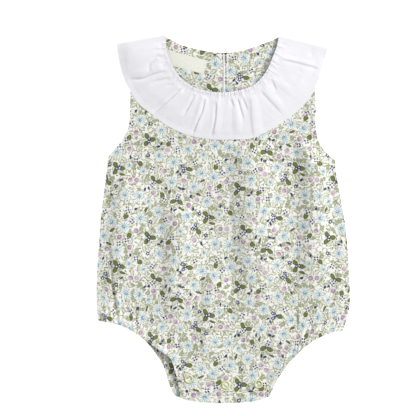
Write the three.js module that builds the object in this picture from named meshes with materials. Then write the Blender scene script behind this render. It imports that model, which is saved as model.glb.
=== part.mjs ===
// A sleeveless baby romper with a gathered white collar, laid flat on its back.
// Drafting axes, in millimetres: x runs to the right of the laid-out front, y runs up from
// the crotch hem to the neck, and z runs up from the surface that the romper lies on.

import * as THREE from "three";

// Walls and gaps
const frontWall = 1.2;
const backWall = 1.0;
const ruffleWall = 1.0;
const seamGap = 0.3;

// Cloth and metal finishes
const printedCotton = { color: 0xd2d6c8, roughness: 0.85, metalness: 0 };
const whiteCotton = { color: 0xeeedf1, roughness: 0.85, metalness: 0 };
const wovenTape = { color: 0xf1f0e6, roughness: 0.8, metalness: 0 };
const enamel = { color: 0xdfe6a8, roughness: 0.35, metalness: 0.1 };

// Outline of the laid-out body. Leg edges run down from the hip corner to the crotch hem,
// the side runs up from the hip corner to the armpit, and the armhole up to the shoulder.
const outline = {
  left: {
    inwards: 1,
    hip: { x: -138.0, y: 91.3 },
    frontLeg: [
      { x: -121.5, y: 88.2 },
      { x: -104.0, y: 82.0 },
      { x: -87.5, y: 71.0 },
      { x: -67.4, y: 56.7 },
      { x: -58.0, y: 49.5 },
      { x: -53.4, y: 37.0 },
      { x: -49.6, y: 22.0 },
    ],
    frontHemX: -47.6,
    backLeg: [
      { x: -121.5, y: 88.2 },
      { x: -104.0, y: 82.0 },
      { x: -86.4, y: 69.3 },
      { x: -73.7, y: 53.9 },
      { x: -65.4, y: 39.8 },
      { x: -58.5, y: 18.5 },
    ],
    backHemX: -54.2,
    side: [
      { x: -139.2, y: 112.0 },
      { x: -139.0, y: 140.0 },
      { x: -135.3, y: 196.9 },
      { x: -129.3, y: 248.6 },
      { x: -126.5, y: 271.7 },
    ],
    armhole: [
      { x: -119.8, y: 279.4 },
      { x: -109.4, y: 292.0 },
      { x: -103.6, y: 308.0 },
      { x: -102.4, y: 335.0 },
      { x: -101.6, y: 367.4 },
      { x: -100.0, y: 397.3 },
    ],
    neckPoint: { x: -63.5, y: 404.0 },
    ruffleCorner: { x: -116.8, y: 394.3 },
  },
  right: {
    inwards: -1,
    hip: { x: 131.5, y: 79.8 },
    frontLeg: [
      { x: 119.0, y: 77.8 },
      { x: 106.0, y: 72.6 },
      { x: 93.0, y: 64.9 },
      { x: 83.0, y: 57.5 },
      { x: 73.5, y: 50.0 },
      { x: 63.5, y: 39.0 },
      { x: 55.0, y: 25.0 },
    ],
    frontHemX: 46.6,
    backLeg: [
      { x: 119.0, y: 77.8 },
      { x: 106.0, y: 72.6 },
      { x: 92.4, y: 63.5 },
      { x: 80.9, y: 52.4 },
      { x: 70.9, y: 41.5 },
      { x: 60.5, y: 26.5 },
    ],
    backHemX: 50.9,
    side: [
      { x: 137.0, y: 96.0 },
      { x: 139.7, y: 119.9 },
      { x: 135.4, y: 190.0 },
      { x: 125.8, y: 246.0 },
      { x: 123.2, y: 267.9 },
    ],
    armhole: [
      { x: 116.1, y: 273.4 },
      { x: 106.3, y: 286.2 },
      { x: 102.2, y: 303.0 },
      { x: 101.9, y: 330.0 },
      { x: 100.7, y: 367.4 },
      { x: 97.8, y: 394.4 },
    ],
    neckPoint: { x: 61.0, y: 403.0 },
    ruffleCorner: { x: 115.3, y: 390.3 },
  },
};
const crotchHem = { lowest: 0.3, rise: 5.0, cornerX: 45 };
const centreBackX = 0.7;

// Neck openings, from the left shoulder to the right one
const frontNeck = [
  { x: -62.4, y: 390.0 },
  { x: -59.2, y: 378.4 },
  { x: -50.7, y: 363.3 },
  { x: -39.3, y: 352.0 },
  { x: -24.2, y: 345.2 },
  { x: -1.5, y: 342.0 },
  { x: 21.3, y: 345.2 },
  { x: 34.5, y: 351.0 },
  { x: 46.0, y: 363.3 },
  { x: 53.3, y: 378.4 },
  { x: 58.5, y: 391.5 },
];
const backNeck = [
  { x: -44.6, y: 394.0 },
  { x: -17.0, y: 387.4 },
  { x: 0.7, y: 386.4 },
  { x: 19.0, y: 388.4 },
  { x: 43.5, y: 396.2 },
];

// Outer hem of the collar, from the left shoulder to the right one
const ruffleHemFront = [
  { x: -115.3, y: 380.6 },
  { x: -108.8, y: 357.0 },
  { x: -95.6, y: 333.0 },
  { x: -80.9, y: 319.8 },
  { x: -60.2, y: 305.0 },
  { x: -39.3, y: 295.4 },
  { x: -14.6, y: 290.8 },
  { x: 13.8, y: 290.4 },
  { x: 35.5, y: 293.2 },
  { x: 66.8, y: 310.2 },
  { x: 85.7, y: 325.4 },
  { x: 99.0, y: 342.4 },
  { x: 110.3, y: 374.7 },
];
const ruffleHemBack = [
  { x: -112.5, y: 378.0 },
  { x: -99.0, y: 352.0 },
  { x: -64.0, y: 336.0 },
  { x: 0.0, y: 331.0 },
  { x: 62.0, y: 336.0 },
  { x: 96.0, y: 352.0 },
  { x: 109.5, y: 375.0 },
];

// Soft folds of the front, as ridges between two plan points
const bodyFolds = [
  { fromX: 29, fromY: 290, toX: 34, toY: 96, high: 2.3, halfWide: 21 },
  { fromX: 97, fromY: 262, toX: 100, toY: 96, high: 2.2, halfWide: 17 },
  { fromX: -47, fromY: 236, toX: -52, toY: 92, high: 2.2, halfWide: 19 },
  { fromX: -112, fromY: 236, toX: -108, toY: 118, high: 1.9, halfWide: 17 },
  { fromX: -8, fromY: 150, toX: -14, toY: 60, high: 1.4, halfWide: 18 },
];

// Gathers along each leg edge, numbered from the hip corner. Their spacing widens slowly.
const gathers = {
  number: 18,
  pitch: 4.6,
  spread: 0.09,
  high: 1.2,
  reach: 24,
  uneven: 0.3,
  crotchShare: 0.4,
  backShare: 0.4,
};
const longGathers = [
  { side: "left", number: 2, high: 1.5, reach: 34 },
  { side: "left", number: 5, high: 2.0, reach: 60 },
  { side: "left", number: 8, high: 1.8, reach: 34 },
  { side: "left", number: 12, high: 1.4, reach: 30 },
  { side: "right", number: 2, high: 1.5, reach: 30 },
  { side: "right", number: 7, high: 1.7, reach: 30 },
  { side: "right", number: 10, high: 2.0, reach: 42 },
  { side: "right", number: 13, high: 1.4, reach: 34 },
];

// Long folds of the collar, from the neck seam outwards
const ruffleFolds = [
  { fromX: -66, fromY: 372, toX: -103, toY: 359, high: 2.4, halfWide: 5.0 },
  { fromX: -62, fromY: 362, toX: -85, toY: 352, high: 1.8, halfWide: 4.5 },
  { fromX: -45, fromY: 348, toX: -75, toY: 322, high: 2.6, halfWide: 5.0 },
  { fromX: -32, fromY: 342, toX: -44, toY: 316, high: 1.9, halfWide: 4.5 },
  { fromX: -20, fromY: 339, toX: -33, toY: 297, high: 2.2, halfWide: 5.0 },
  { fromX: -7, fromY: 336, toX: -11, toY: 296, high: 1.9, halfWide: 5.0 },
  { fromX: 6, fromY: 336, toX: 6, toY: 300, high: 1.4, halfWide: 4.5 },
  { fromX: 17, fromY: 338, toX: 25, toY: 306, high: 1.8, halfWide: 4.5 },
  { fromX: 29, fromY: 340, toX: 35, toY: 296, high: 2.6, halfWide: 5.5 },
  { fromX: 43, fromY: 348, toX: 70, toY: 318, high: 2.2, halfWide: 5.0 },
  { fromX: 52, fromY: 358, toX: 74, toY: 342, high: 1.3, halfWide: 5.0 },
  { fromX: 62, fromY: 380, toX: 106, toY: 370, high: 1.3, halfWide: 4.0 },
  { fromX: -68, fromY: 394, toX: -92, toY: 390, high: 1.2, halfWide: 4.0 },
];

// Heights that the layers reach
const frontPuff = { high: 0.7, edge: 22 };
const legLift = { high: 0.6, reach: 44 };
const legPuff = { high: 1.6, reach: 16, fromY: 8, toY: 40 };
const neckPuff = { high: 2.0, reach: 16, fadeFrom: 376, fadeTo: 402 };
const backRise = { from: 298, to: 318 };
const frontRise = { from: 280, to: 300 };
const ruffleDroop = { from: 103.5, to: 117, drop: 2.4 };
const ruffleEase = 0.6;
const frontPucker = { number: 48, high: 1.0, reach: 0.34 };
const backPucker = { number: 24, high: 0.5, reach: 0.5 };

// Parts that are sewn or pressed on
const label = { long: 45, wide: 15.5, thick: 0.6, turn: -0.258, rightX: -17.5, topY: 377.5 };
const backSeam = { wide: 1.8, high: 1.1, fromY: 339, toY: 385.4 };
const snaps = [
  { x: -37.7, y: 27.0 },
  { x: 3.0, y: 20.4 },
  { x: 38.9, y: 21.5 },
];
const snapRing = { outer: 5.2, inner: 3.4, high: 1.2, round: 24 };

// Mesh steps: heights of the rows as shares of a patch, and columns between the gathers
const legRows = [0, 0.02, 0.05, 0.09, 0.14, 0.2, 0.27];
const bodyRows = [0.35, 0.43, 0.51, 0.59, 0.67, 0.75, 0.83, 0.91, 1];
const yokeRows = [0.06, 0.13, 0.21, 0.32, 0.45, 0.58, 0.7, 0.8, 0.88, 0.94, 1];
const backBodyRows = [0.35, 0.51, 0.67, 0.83, 1];
const frontColumns = { across: 30, shoulder: 5 };
const backColumns = { across: 5, shoulder: 2 };
const plainStep = 9;
const ruffleAcross = 8;
const turnSteps = 6;

const plan = (point) => new THREE.Vector2(point.x, point.y);
const lift = (point, z) => new THREE.Vector3(point.x, point.y, z);
const clamp = THREE.MathUtils.clamp;
const smooth = (value, from, to) => THREE.MathUtils.smoothstep(value, from, to);
const mix = THREE.MathUtils.lerp;
const curveThrough = (points) => new THREE.SplineCurve(points.map(plan));
const along = (curve) => (share) => curve.getPointAt(clamp(share, 0, 1));
const lineBetween = (from, to) => (share) => plan(from).lerp(plan(to), share);
const sampled = (line, steps) =>
  Array.from({ length: steps + 1 }, (_, step) => line(step / steps));
const evenShares = (count) => Array.from({ length: count + 1 }, (_, i) => i / count);

// A line made of several curves, by shares of its whole length.
function joinedLine(curves) {
  const path = new THREE.CurvePath();
  curves.forEach((curve) => path.add(curve));
  return (share) => path.getPoint(clamp(share, 0, 1));
}

// The plan point at (u, v) of a patch with four curved sides.
function patch({ bottom, top, left, right }) {
  return (u, v) => {
    const across = bottom(u).multiplyScalar(1 - v).addScaledVector(top(u), v);
    const upwards = left(v).multiplyScalar(1 - u).addScaledVector(right(v), u);
    const corners = bottom(0)
      .multiplyScalar((1 - u) * (1 - v))
      .addScaledVector(bottom(1), u * (1 - v))
      .addScaledVector(top(0), (1 - u) * v)
      .addScaledVector(top(1), u * v);
    return across.add(upwards).sub(corners);
  };
}

// The crotch hem rises towards its corners.
const hemPoint = (x) =>
  new THREE.Vector2(x, crotchHem.lowest + crotchHem.rise * Math.abs(x / crotchHem.cornerX) ** 3);
const hemCurve = (fromX, toX) =>
  new THREE.SplineCurve(sampled((share) => hemPoint(mix(fromX, toX, share)), 8));

const legCurve = (side, leg, hemX) => curveThrough([side.hip, ...leg, hemPoint(hemX)]);
const sideLine = (side) => along(curveThrough([side.hip, ...side.side]));
const armholeLine = (side) => along(curveThrough([side.side.at(-1), ...side.armhole]));
const neckCurve = (points) =>
  curveThrough([outline.left.neckPoint, ...points, outline.right.neckPoint]);
const frontNeckLine = along(neckCurve(frontNeck));
const backNeckLine = along(neckCurve(backNeck));
const { left, right } = outline;
const frontLegs = {
  left: legCurve(left, left.frontLeg, left.frontHemX),
  right: legCurve(right, right.frontLeg, right.frontHemX),
};

// How far a plan point lies from a fold, as a share of its half width, and how far along.
function besideFold(point, fold) {
  const from = new THREE.Vector2(fold.fromX, fold.fromY);
  const line = new THREE.Vector2(fold.toX, fold.toY).sub(from);
  const reach = point.clone().sub(from);
  const share = clamp(reach.dot(line) / line.lengthSq(), 0, 1);
  const away = reach.addScaledVector(line, -share).length() / fold.halfWide;
  return { away, share };
}

// The height of the tallest fold at a plan point, with each fold dying away at its far end.
function foldHeight(point, folds) {
  let height = 0;
  for (const fold of folds) {
    const { away, share } = besideFold(point, fold);
    if (away >= 1) continue;
    const fading = 1 - 0.75 * share * share;
    height = Math.max(height, fold.high * fading * (1 - away * away) ** 2);
  }
  return height;
}

const nearest = (point, points) =>
  Math.min(...points.map((other) => other.distanceTo(point)));
const neckSamples = sampled(frontNeckLine, 60);
const legSamples = [
  ...sampled(along(frontLegs.left), 40),
  ...sampled(along(frontLegs.right), 40),
];
const sideSamples = [left, right].flatMap((side) => [
  ...sampled(sideLine(side), 40),
  ...sampled(armholeLine(side), 30),
]);

const underBack = ruffleWall + backPucker.high + seamGap;
const backBottom = (point) => underBack * smooth(point.y, backRise.from, backRise.to);
const backTop = (point) => backBottom(point) + backWall;

// The underside of the front panel, apart from its leg gathers.
function frontBottom(point) {
  const level =
    backWall + seamGap + underBack * smooth(point.y, frontRise.from, frontRise.to);
  const fromLeg = nearest(point, legSamples);
  const lifted = legLift.high * (1 - smooth(fromLeg, 0, legLift.reach));
  const open = smooth(nearest(point, sideSamples), 0, frontPuff.edge);
  const underCollar = 1 - smooth(point.y, frontRise.from, frontRise.to + 8);
  const awayFromHem = smooth(point.y, legPuff.fromY, legPuff.toY);
  const atLeg = (1 - smooth(fromLeg, 0, legPuff.reach)) * awayFromHem;
  const puffed = Math.max(frontPuff.high + foldHeight(point, bodyFolds), legPuff.high * atLeg);
  const fromNeck = nearest(point, neckSamples);
  const atNeck =
    Math.exp(-((fromNeck / neckPuff.reach) ** 2)) *
    (1 - smooth(point.y, neckPuff.fadeFrom, neckPuff.fadeTo));
  return level + lifted + open * underCollar * puffed + neckPuff.high * atNeck;
}

// The underside of the collar where it lies over the front panel, or hangs past its armholes.
function ruffleBottom(point) {
  const past = smooth(Math.abs(point.x), ruffleDroop.from, ruffleDroop.to);
  const onPanel = underBack + backWall + frontWall + seamGap + ruffleEase;
  const overFront = frontBottom(point) + frontWall + ruffleEase;
  return mix(overFront, onPanel - ruffleDroop.drop, past);
}

// Places along a leg edge from the hip corner: a crest for each gather and a trough after it,
// then plain cloth to the hem.
function legStations(sideName, length) {
  const centre = (number) => gathers.pitch * number + gathers.spread * number ** 2;
  const stations = [{ distance: 0, high: 0, reach: 1 }];
  for (let number = 1; number <= gathers.number; number += 1) {
    const uneven = 1 + gathers.uneven * Math.sin(number * 2.4);
    const toCrotch = mix(1, gathers.crotchShare, number / gathers.number);
    const usual = { high: gathers.high * uneven * toCrotch, reach: gathers.reach * uneven };
    const long = longGathers.find((row) => row.side === sideName && row.number === number);
    const { high, reach } = long ?? usual;
    const trough = (centre(number) + centre(number + 1)) / 2;
    stations.push({ distance: centre(number), high, reach });
    stations.push({ distance: trough, high: 0, reach: 1 });
  }
  return [...stations, ...plainStations(stations.at(-1).distance, length)];
}

// Evenly spaced places between two distances, without the first.
function plainStations(from, to) {
  const steps = Math.ceil((to - from) / plainStep);
  return evenShares(steps)
    .slice(1)
    .map((share) => ({ distance: mix(from, to, share), high: 0, reach: 1 }));
}

const asShares = (stations, total) =>
  stations.map(({ distance, high, reach }) => ({ share: distance / total, high, reach }));

// One row of a panel's underside, raised at each gather's crest.
function gatheredRow(place, v, stations, bottomAt, gatherScale) {
  return stations.map(({ share, high, reach }) => {
    const point = place(share, v);
    const up = point.distanceTo(place(share, 0));
    const gather = gatherScale * high * (1 - smooth(up, 0, reach));
    return { share, low: lift(point, bottomAt(point) + gather) };
  });
}

const plainRow = (place, v, shares, bottomAt) =>
  shares.map((share) => {
    const point = place(share, v);
    return { share, low: lift(point, bottomAt(point)) };
  });

// The triangles between two rows that may have different numbers of points.
function zipRows(lower, upper, lowerStart, upperStart) {
  const faces = [];
  let i = 0;
  let j = 0;
  while (i < lower.length - 1 || j < upper.length - 1) {
    const nextLower = lower[i + 1]?.share ?? Infinity;
    const nextUpper = upper[j + 1]?.share ?? Infinity;
    if (nextLower <= nextUpper) {
      faces.push([lowerStart + i, lowerStart + i + 1, upperStart + j]);
      i += 1;
    } else {
      faces.push([lowerStart + i, upperStart + j + 1, upperStart + j]);
      j += 1;
    }
  }
  return faces;
}

function solidFrom(corners, faces) {
  const geometry = new THREE.BufferGeometry().setFromPoints(corners);
  geometry.setIndex(faces.flat());
  geometry.computeVertexNormals();
  return geometry;
}

// A panel's closed wall. Its rows run from left to right and follow each other upwards.
function panelWall(rows, thickness) {
  const starts = [];
  const lows = [];
  for (const row of rows) {
    starts.push(lows.length);
    lows.push(...row.map(({ low }) => low));
  }
  const upper = lows.length;
  const highs = lows.map((low) => low.clone().setZ(low.z + thickness));
  const faces = [];
  for (let r = 0; r < rows.length - 1; r += 1) {
    for (const [a, b, c] of zipRows(rows[r], rows[r + 1], starts[r], starts[r + 1])) {
      faces.push([a, c, b], [upper + a, upper + b, upper + c]);
    }
  }
  const firsts = starts;
  const lasts = starts.map((start, r) => start + rows[r].length - 1);
  const rim = [
    ...rows[0].map((_, i) => i),
    ...lasts.slice(1),
    ...rows
      .at(-1)
      .map((_, i) => lasts.at(-1) - i)
      .slice(1),
    ...firsts.slice(1, -1).reverse(),
  ];
  rim.forEach((a, i) => {
    const b = rim[(i + 1) % rim.length];
    faces.push([a, b, upper + b], [a, upper + b, upper + a]);
  });
  return solidFrom([...lows, ...highs], faces);
}

// The front is one piece from the shoulders to the crotch.
function frontPanel() {
  const hem = hemCurve(left.frontHemX, right.frontHemX);
  const downLeft = frontLegs.left;
  const upRight = curveThrough([
    hemPoint(right.frontHemX),
    ...[...right.frontLeg].reverse(),
    right.hip,
  ]);
  const lengths = [downLeft, hem, upRight].map((curve) => curve.getLength());
  const total = lengths[0] + lengths[1] + lengths[2];
  const rightStations = legStations("right", lengths[2]).map((station) => ({
    ...station,
    distance: total - station.distance,
  }));
  const stations = asShares(
    [
      ...legStations("left", lengths[0]),
      ...plainStations(lengths[0], lengths[0] + lengths[1]).slice(0, -1),
      ...rightStations.reverse(),
    ],
    total,
  );
  const chest = lineBetween(left.side.at(-1), right.side.at(-1));
  const body = patch({
    bottom: joinedLine([downLeft, hem, upRight]),
    top: chest,
    left: sideLine(left),
    right: sideLine(right),
  });
  const shoulder = frontColumns.shoulder / frontColumns.across;
  const top = (share) => {
    if (share <= shoulder)
      return lineBetween(left.armhole.at(-1), left.neckPoint)(share / shoulder);
    if (share >= 1 - shoulder)
      return lineBetween(right.armhole.at(-1), right.neckPoint)((1 - share) / shoulder);
    return frontNeckLine((share - shoulder) / (1 - 2 * shoulder));
  };
  const yoke = patch({
    bottom: chest,
    top,
    left: armholeLine(left),
    right: armholeLine(right),
  });
  const shares = evenShares(frontColumns.across);
  const rows = [
    ...legRows.map((v) => gatheredRow(body, v, stations, frontBottom, 1)),
    ...bodyRows.map((v) => plainRow(body, v, shares, frontBottom)),
    ...yokeRows.map((v) => plainRow(yoke, v, shares, frontBottom)),
  ];
  return panelWall(rows, frontWall);
}

// One half of the back, worked out from its side seam to the centre-back seam.
function backPanel(name) {
  const side = outline[name];
  const centreX = centreBackX - (side.inwards * seamGap) / 2;
  const leg = legCurve(side, side.backLeg, side.backHemX);
  const hem = hemCurve(side.backHemX, centreX);
  const legLength = leg.getLength();
  const total = legLength + hem.getLength();
  const stations = asShares(
    [...legStations(name, legLength), ...plainStations(legLength, total)],
    total,
  );
  const onCentre = (y) => new THREE.Vector2(centreX, y);
  const armpit = side.side.at(-1);
  const chest = lineBetween(armpit, onCentre(armpit.y));
  const body = patch({
    bottom: joinedLine([leg, hem]),
    top: chest,
    left: sideLine(side),
    right: lineBetween(hemPoint(centreX), onCentre(armpit.y)),
  });
  const shoulder = backColumns.shoulder / backColumns.across;
  const neckMiddle = backNeckLine(0.5);
  const top = (share) => {
    if (share <= shoulder)
      return lineBetween(side.armhole.at(-1), side.neckPoint)(share / shoulder);
    const inwards = (share - shoulder) / (1 - shoulder);
    const point = backNeckLine(name === "left" ? inwards / 2 : 1 - inwards / 2);
    return point.setX(point.x + (centreX - neckMiddle.x) * inwards);
  };
  const yoke = patch({
    bottom: chest,
    top,
    left: armholeLine(side),
    right: lineBetween(onCentre(armpit.y), onCentre(neckMiddle.y)),
  });
  const shares = evenShares(backColumns.across);
  const rows = [
    ...legRows.map((v) => gatheredRow(body, v, stations, backBottom, gathers.backShare)),
    ...backBodyRows.map((v) => plainRow(body, v, shares, backBottom)),
    ...yokeRows.map((v) => plainRow(yoke, v, shares, backBottom)),
  ];
  if (name === "left") return panelWall(rows, backWall);
  const mirrored = rows.map((row) =>
    row.map(({ share, low }) => ({ share: 1 - share, low })).reverse(),
  );
  return panelWall(mirrored, backWall);
}

// A cloth wall that closes on itself. Each section lists its inner and its outer points,
// from one edge of the cloth to the other.
function loopWall(sections) {
  const ringSize = sections[0].inner.length * 2;
  const corners = sections.flatMap((s) => [...s.inner, ...[...s.outer].reverse()]);
  const faces = [];
  sections.forEach((_, s) => {
    const here = s * ringSize;
    const next = ((s + 1) % sections.length) * ringSize;
    for (let i = 0; i < ringSize; i += 1) {
      const j = (i + 1) % ringSize;
      faces.push([here + i, next + j, here + j], [here + i, next + i, next + j]);
    }
  });
  return solidFrom(corners, faces);
}

// The plan point across the collar, from its neck edge (0) to its hem (1).
const acrossCollar = (neckEdge, hem) => (around, across) =>
  neckEdge(around).lerp(hem(around), across);
const frontCollarAt = acrossCollar(
  frontNeckLine,
  along(curveThrough([left.ruffleCorner, ...ruffleHemFront, right.ruffleCorner])),
);
const backCollarAt = acrossCollar(
  backNeckLine,
  along(curveThrough([left.ruffleCorner, ...ruffleHemBack, right.ruffleCorner])),
);
const collarShares = evenShares(ruffleAcross).map((share) => share ** 1.25);

// The height of the small neck puckers. Every second section is the top of one.
const puckerHeight = (pucker, index, across) =>
  (index % 2) * pucker.high * (1 - smooth(across, 0, pucker.reach));

// One section of the collar over the front.
function frontCollarSection(index, count) {
  const awayFromTurn = smooth(Math.min(index, count - index), 0, 4);
  const inner = collarShares.map((across) => {
    const point = frontCollarAt(index / count, across);
    const raised = puckerHeight(frontPucker, index, across) + foldHeight(point, ruffleFolds);
    return lift(point, ruffleBottom(point) + awayFromTurn * raised);
  });
  const outer = inner.map((p) => p.clone().setZ(p.z + ruffleWall));
  return { inner, outer };
}

// One section of the collar under the back, lying on the surface.
function backCollarSection(index, count) {
  const awayFromTurn = smooth(Math.min(index, count - index), 0, 2);
  const outer = collarShares.map((across) => {
    const raised = puckerHeight(backPucker, index, across);
    return lift(backCollarAt(index / count, across), awayFromTurn * raised);
  });
  const inner = outer.map((p) => p.clone().setZ(p.z + ruffleWall));
  return { inner, outer };
}

// A section of the turn over a shoulder. The angle falls from a quarter turn over the front
// to minus a quarter turn under the back.
function shoulderSection(side, angle) {
  const foldLine = lineBetween(side.neckPoint, side.ruffleCorner);
  const direction = plan(side.ruffleCorner).sub(plan(side.neckPoint)).normalize();
  const outward = new THREE.Vector2(direction.y, -direction.x).multiplyScalar(side.inwards);
  const onTurn = (across, extra) => {
    const point = foldLine(across);
    const over = ruffleBottom(point);
    const radius = (over - ruffleWall) / 2 + extra;
    const middle = (over + ruffleWall) / 2;
    const moved = point.addScaledVector(outward, radius * Math.cos(angle));
    return lift(moved, middle + radius * Math.sin(angle));
  };
  return {
    inner: collarShares.map((across) => onTurn(across, 0)),
    outer: collarShares.map((across) => onTurn(across, ruffleWall)),
  };
}

// The collar is one gathered ring that turns over both shoulders.
function collarRuffle() {
  const frontSteps = frontPucker.number * 2;
  const backSteps = backPucker.number * 2;
  const turnAngle = (i) => Math.PI / 2 - (Math.PI * i) / turnSteps;
  const sections = [];
  for (let i = 0; i <= frontSteps; i += 1) sections.push(frontCollarSection(i, frontSteps));
  for (let i = 1; i < turnSteps; i += 1) sections.push(shoulderSection(right, turnAngle(i)));
  for (let i = backSteps; i >= 0; i -= 1) sections.push(backCollarSection(i, backSteps));
  for (let i = turnSteps - 1; i > 0; i -= 1) sections.push(shoulderSection(left, turnAngle(i)));
  return loopWall(sections);
}

// A straight strip that lies on the back panel, from one plan point to another.
function flatStrip(from, to, wide, high) {
  const direction = plan(to).sub(plan(from)).normalize();
  const beside = new THREE.Vector2(-direction.y, direction.x).multiplyScalar(wide / 2);
  const edge = (side) => (share) => lineBetween(from, to)(share).addScaledVector(beside, side);
  const place = (u, v) => edge(-1)(u).lerp(edge(1)(u), v);
  const onBack = (point) => backTop(point) + seamGap;
  const rows = [0, 0.5, 1].map((v) => plainRow(place, v, evenShares(4), onBack));
  return panelWall(rows, high);
}

// The woven label inside the back of the neck, turned as it lies.
function neckLabel() {
  const direction = new THREE.Vector2(Math.cos(label.turn), Math.sin(label.turn));
  const beside = new THREE.Vector2(-direction.y, direction.x);
  const rightEnd = new THREE.Vector2(label.rightX, label.topY);
  rightEnd.addScaledVector(beside, -label.wide / 2);
  const leftEnd = rightEnd.clone().addScaledVector(direction, -label.long);
  return flatStrip(leftEnd, rightEnd, label.wide, label.thick);
}

// The raised edge of the centre-back seam, as it shows inside the neck.
const backSeamEdge = () =>
  flatStrip(
    { x: centreBackX, y: backSeam.fromY },
    { x: centreBackX, y: backSeam.toY },
    backSeam.wide,
    backSeam.high,
  );

// The ring of a press stud.
function snapGeometry() {
  const { outer, inner, high, round } = snapRing;
  const bevel = high / 3;
  const profile = [
    [inner, 0],
    [outer, 0],
    [outer, high - bevel],
    [outer - bevel, high],
    [inner + bevel, high],
    [inner, high - bevel],
    [inner, 0],
  ].map(([radius, height]) => new THREE.Vector2(radius, height));
  return new THREE.LatheGeometry(profile, round).rotateX(Math.PI / 2);
}

// The height at which a stud's ring rests on the cloth below it.
function snapSeat(place) {
  const around = sampled((share) => {
    const turn = share * Math.PI * 2;
    const x = place.x + snapRing.outer * Math.cos(turn);
    return new THREE.Vector2(x, place.y + snapRing.outer * Math.sin(turn));
  }, 12);
  return Math.max(...around.map(frontBottom)) + frontWall + seamGap;
}

function sewnMesh(name, geometry, finish) {
  const mesh = new THREE.Mesh(geometry, new THREE.MeshStandardMaterial(finish));
  mesh.name = name;
  return mesh;
}

const romper = new THREE.Group();
romper.name = "baby_romper";
romper.add(
  sewnMesh("front_panel", frontPanel(), printedCotton),
  sewnMesh("back_panel_left", backPanel("left"), printedCotton),
  sewnMesh("back_panel_right", backPanel("right"), printedCotton),
  sewnMesh("collar_ruffle", collarRuffle(), whiteCotton),
  sewnMesh("neck_label", neckLabel(), wovenTape),
  sewnMesh("back_seam_edge", backSeamEdge(), whiteCotton),
);
snaps.forEach((place, index) => {
  const ring = sewnMesh(`snap_${index + 1}`, snapGeometry(), enamel);
  ring.position.set(place.x, place.y, snapSeat(place));
  romper.add(ring);
});

// The origin is the middle of the romper's footprint, on the surface that it lies on.
const reach = new THREE.Box3().setFromObject(romper);
const centre = reach.getCenter(new THREE.Vector3());
romper.position.set(-centre.x, -centre.y, -reach.min.z);

export default romper;
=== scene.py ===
# A sleeveless baby romper with a gathered white collar, laid flat on its back.
# Sizes are in millimetres on the plan in which the romper is drawn: x to the right of the
# laid-out front, y up from the crotch hem to the neck, z up from the floor.
import math

import bpy
import numpy as np
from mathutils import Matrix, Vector


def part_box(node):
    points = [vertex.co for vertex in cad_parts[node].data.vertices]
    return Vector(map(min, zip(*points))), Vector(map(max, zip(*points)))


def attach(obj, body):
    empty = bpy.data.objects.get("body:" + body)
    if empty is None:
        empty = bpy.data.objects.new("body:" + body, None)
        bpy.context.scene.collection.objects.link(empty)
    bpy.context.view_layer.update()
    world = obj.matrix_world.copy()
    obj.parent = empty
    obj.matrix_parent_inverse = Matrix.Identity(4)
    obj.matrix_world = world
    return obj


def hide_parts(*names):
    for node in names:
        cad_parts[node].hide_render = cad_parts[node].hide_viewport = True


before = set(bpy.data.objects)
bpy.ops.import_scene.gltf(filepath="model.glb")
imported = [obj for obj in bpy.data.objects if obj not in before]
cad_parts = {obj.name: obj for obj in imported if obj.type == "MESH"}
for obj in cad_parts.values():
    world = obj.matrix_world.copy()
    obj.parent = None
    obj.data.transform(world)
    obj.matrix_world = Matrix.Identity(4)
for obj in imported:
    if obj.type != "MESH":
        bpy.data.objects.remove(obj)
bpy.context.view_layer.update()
bpy.ops.object.select_all(action="DESELECT")
print("frame loaded")

mm = 0.001

# The outline of the laid-out body and its collar
outline = {
    "left": {
        "inwards": 1,
        "hip": (-138.0, 91.3),
        "frontLeg": [
            (-121.5, 88.2), (-104.0, 82.0), (-87.5, 71.0), (-67.4, 56.7), (-58.0, 49.5),
            (-53.4, 37.0), (-49.6, 22.0),
        ],
        "frontHemX": -47.6,
        "backLeg": [
            (-121.5, 88.2), (-104.0, 82.0), (-86.4, 69.3), (-73.7, 53.9), (-65.4, 39.8),
            (-58.5, 18.5),
        ],
        "backHemX": -54.2,
        "side": [
            (-139.2, 112.0), (-139.0, 140.0), (-135.3, 196.9), (-129.3, 248.6),
            (-126.5, 271.7),
        ],
        "armhole": [
            (-119.8, 279.4), (-109.4, 292.0), (-103.6, 308.0), (-102.4, 335.0),
            (-101.6, 367.4), (-100.0, 397.3),
        ],
        "neckPoint": (-63.5, 404.0),
        "ruffleCorner": (-116.8, 394.3),
    },
    "right": {
        "inwards": -1,
        "hip": (131.5, 79.8),
        "frontLeg": [
            (119.0, 77.8), (106.0, 72.6), (93.0, 64.9), (83.0, 57.5), (73.5, 50.0),
            (63.5, 39.0), (55.0, 25.0),
        ],
        "frontHemX": 46.6,
        "backLeg": [
            (119.0, 77.8), (106.0, 72.6), (92.4, 63.5), (80.9, 52.4), (70.9, 41.5),
            (60.5, 26.5),
        ],
        "backHemX": 50.9,
        "side": [
            (137.0, 96.0), (139.7, 119.9), (135.4, 190.0), (125.8, 246.0), (123.2, 267.9),
        ],
        "armhole": [
            (116.1, 273.4), (106.3, 286.2), (102.2, 303.0), (101.9, 330.0),
            (100.7, 367.4), (97.8, 394.4),
        ],
        "neckPoint": (61.0, 403.0),
        "ruffleCorner": (115.3, 390.3),
    },
}
frontNeck = [
    (-62.4, 390.0), (-59.2, 378.4), (-50.7, 363.3), (-39.3, 352.0), (-24.2, 345.2),
    (-1.5, 342.0), (21.3, 345.2), (34.5, 351.0), (46.0, 363.3), (53.3, 378.4),
    (58.5, 391.5),
]
backNeck = [(-44.6, 394.0), (-17.0, 387.4), (0.7, 386.4), (19.0, 388.4), (43.5, 396.2)]
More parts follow.
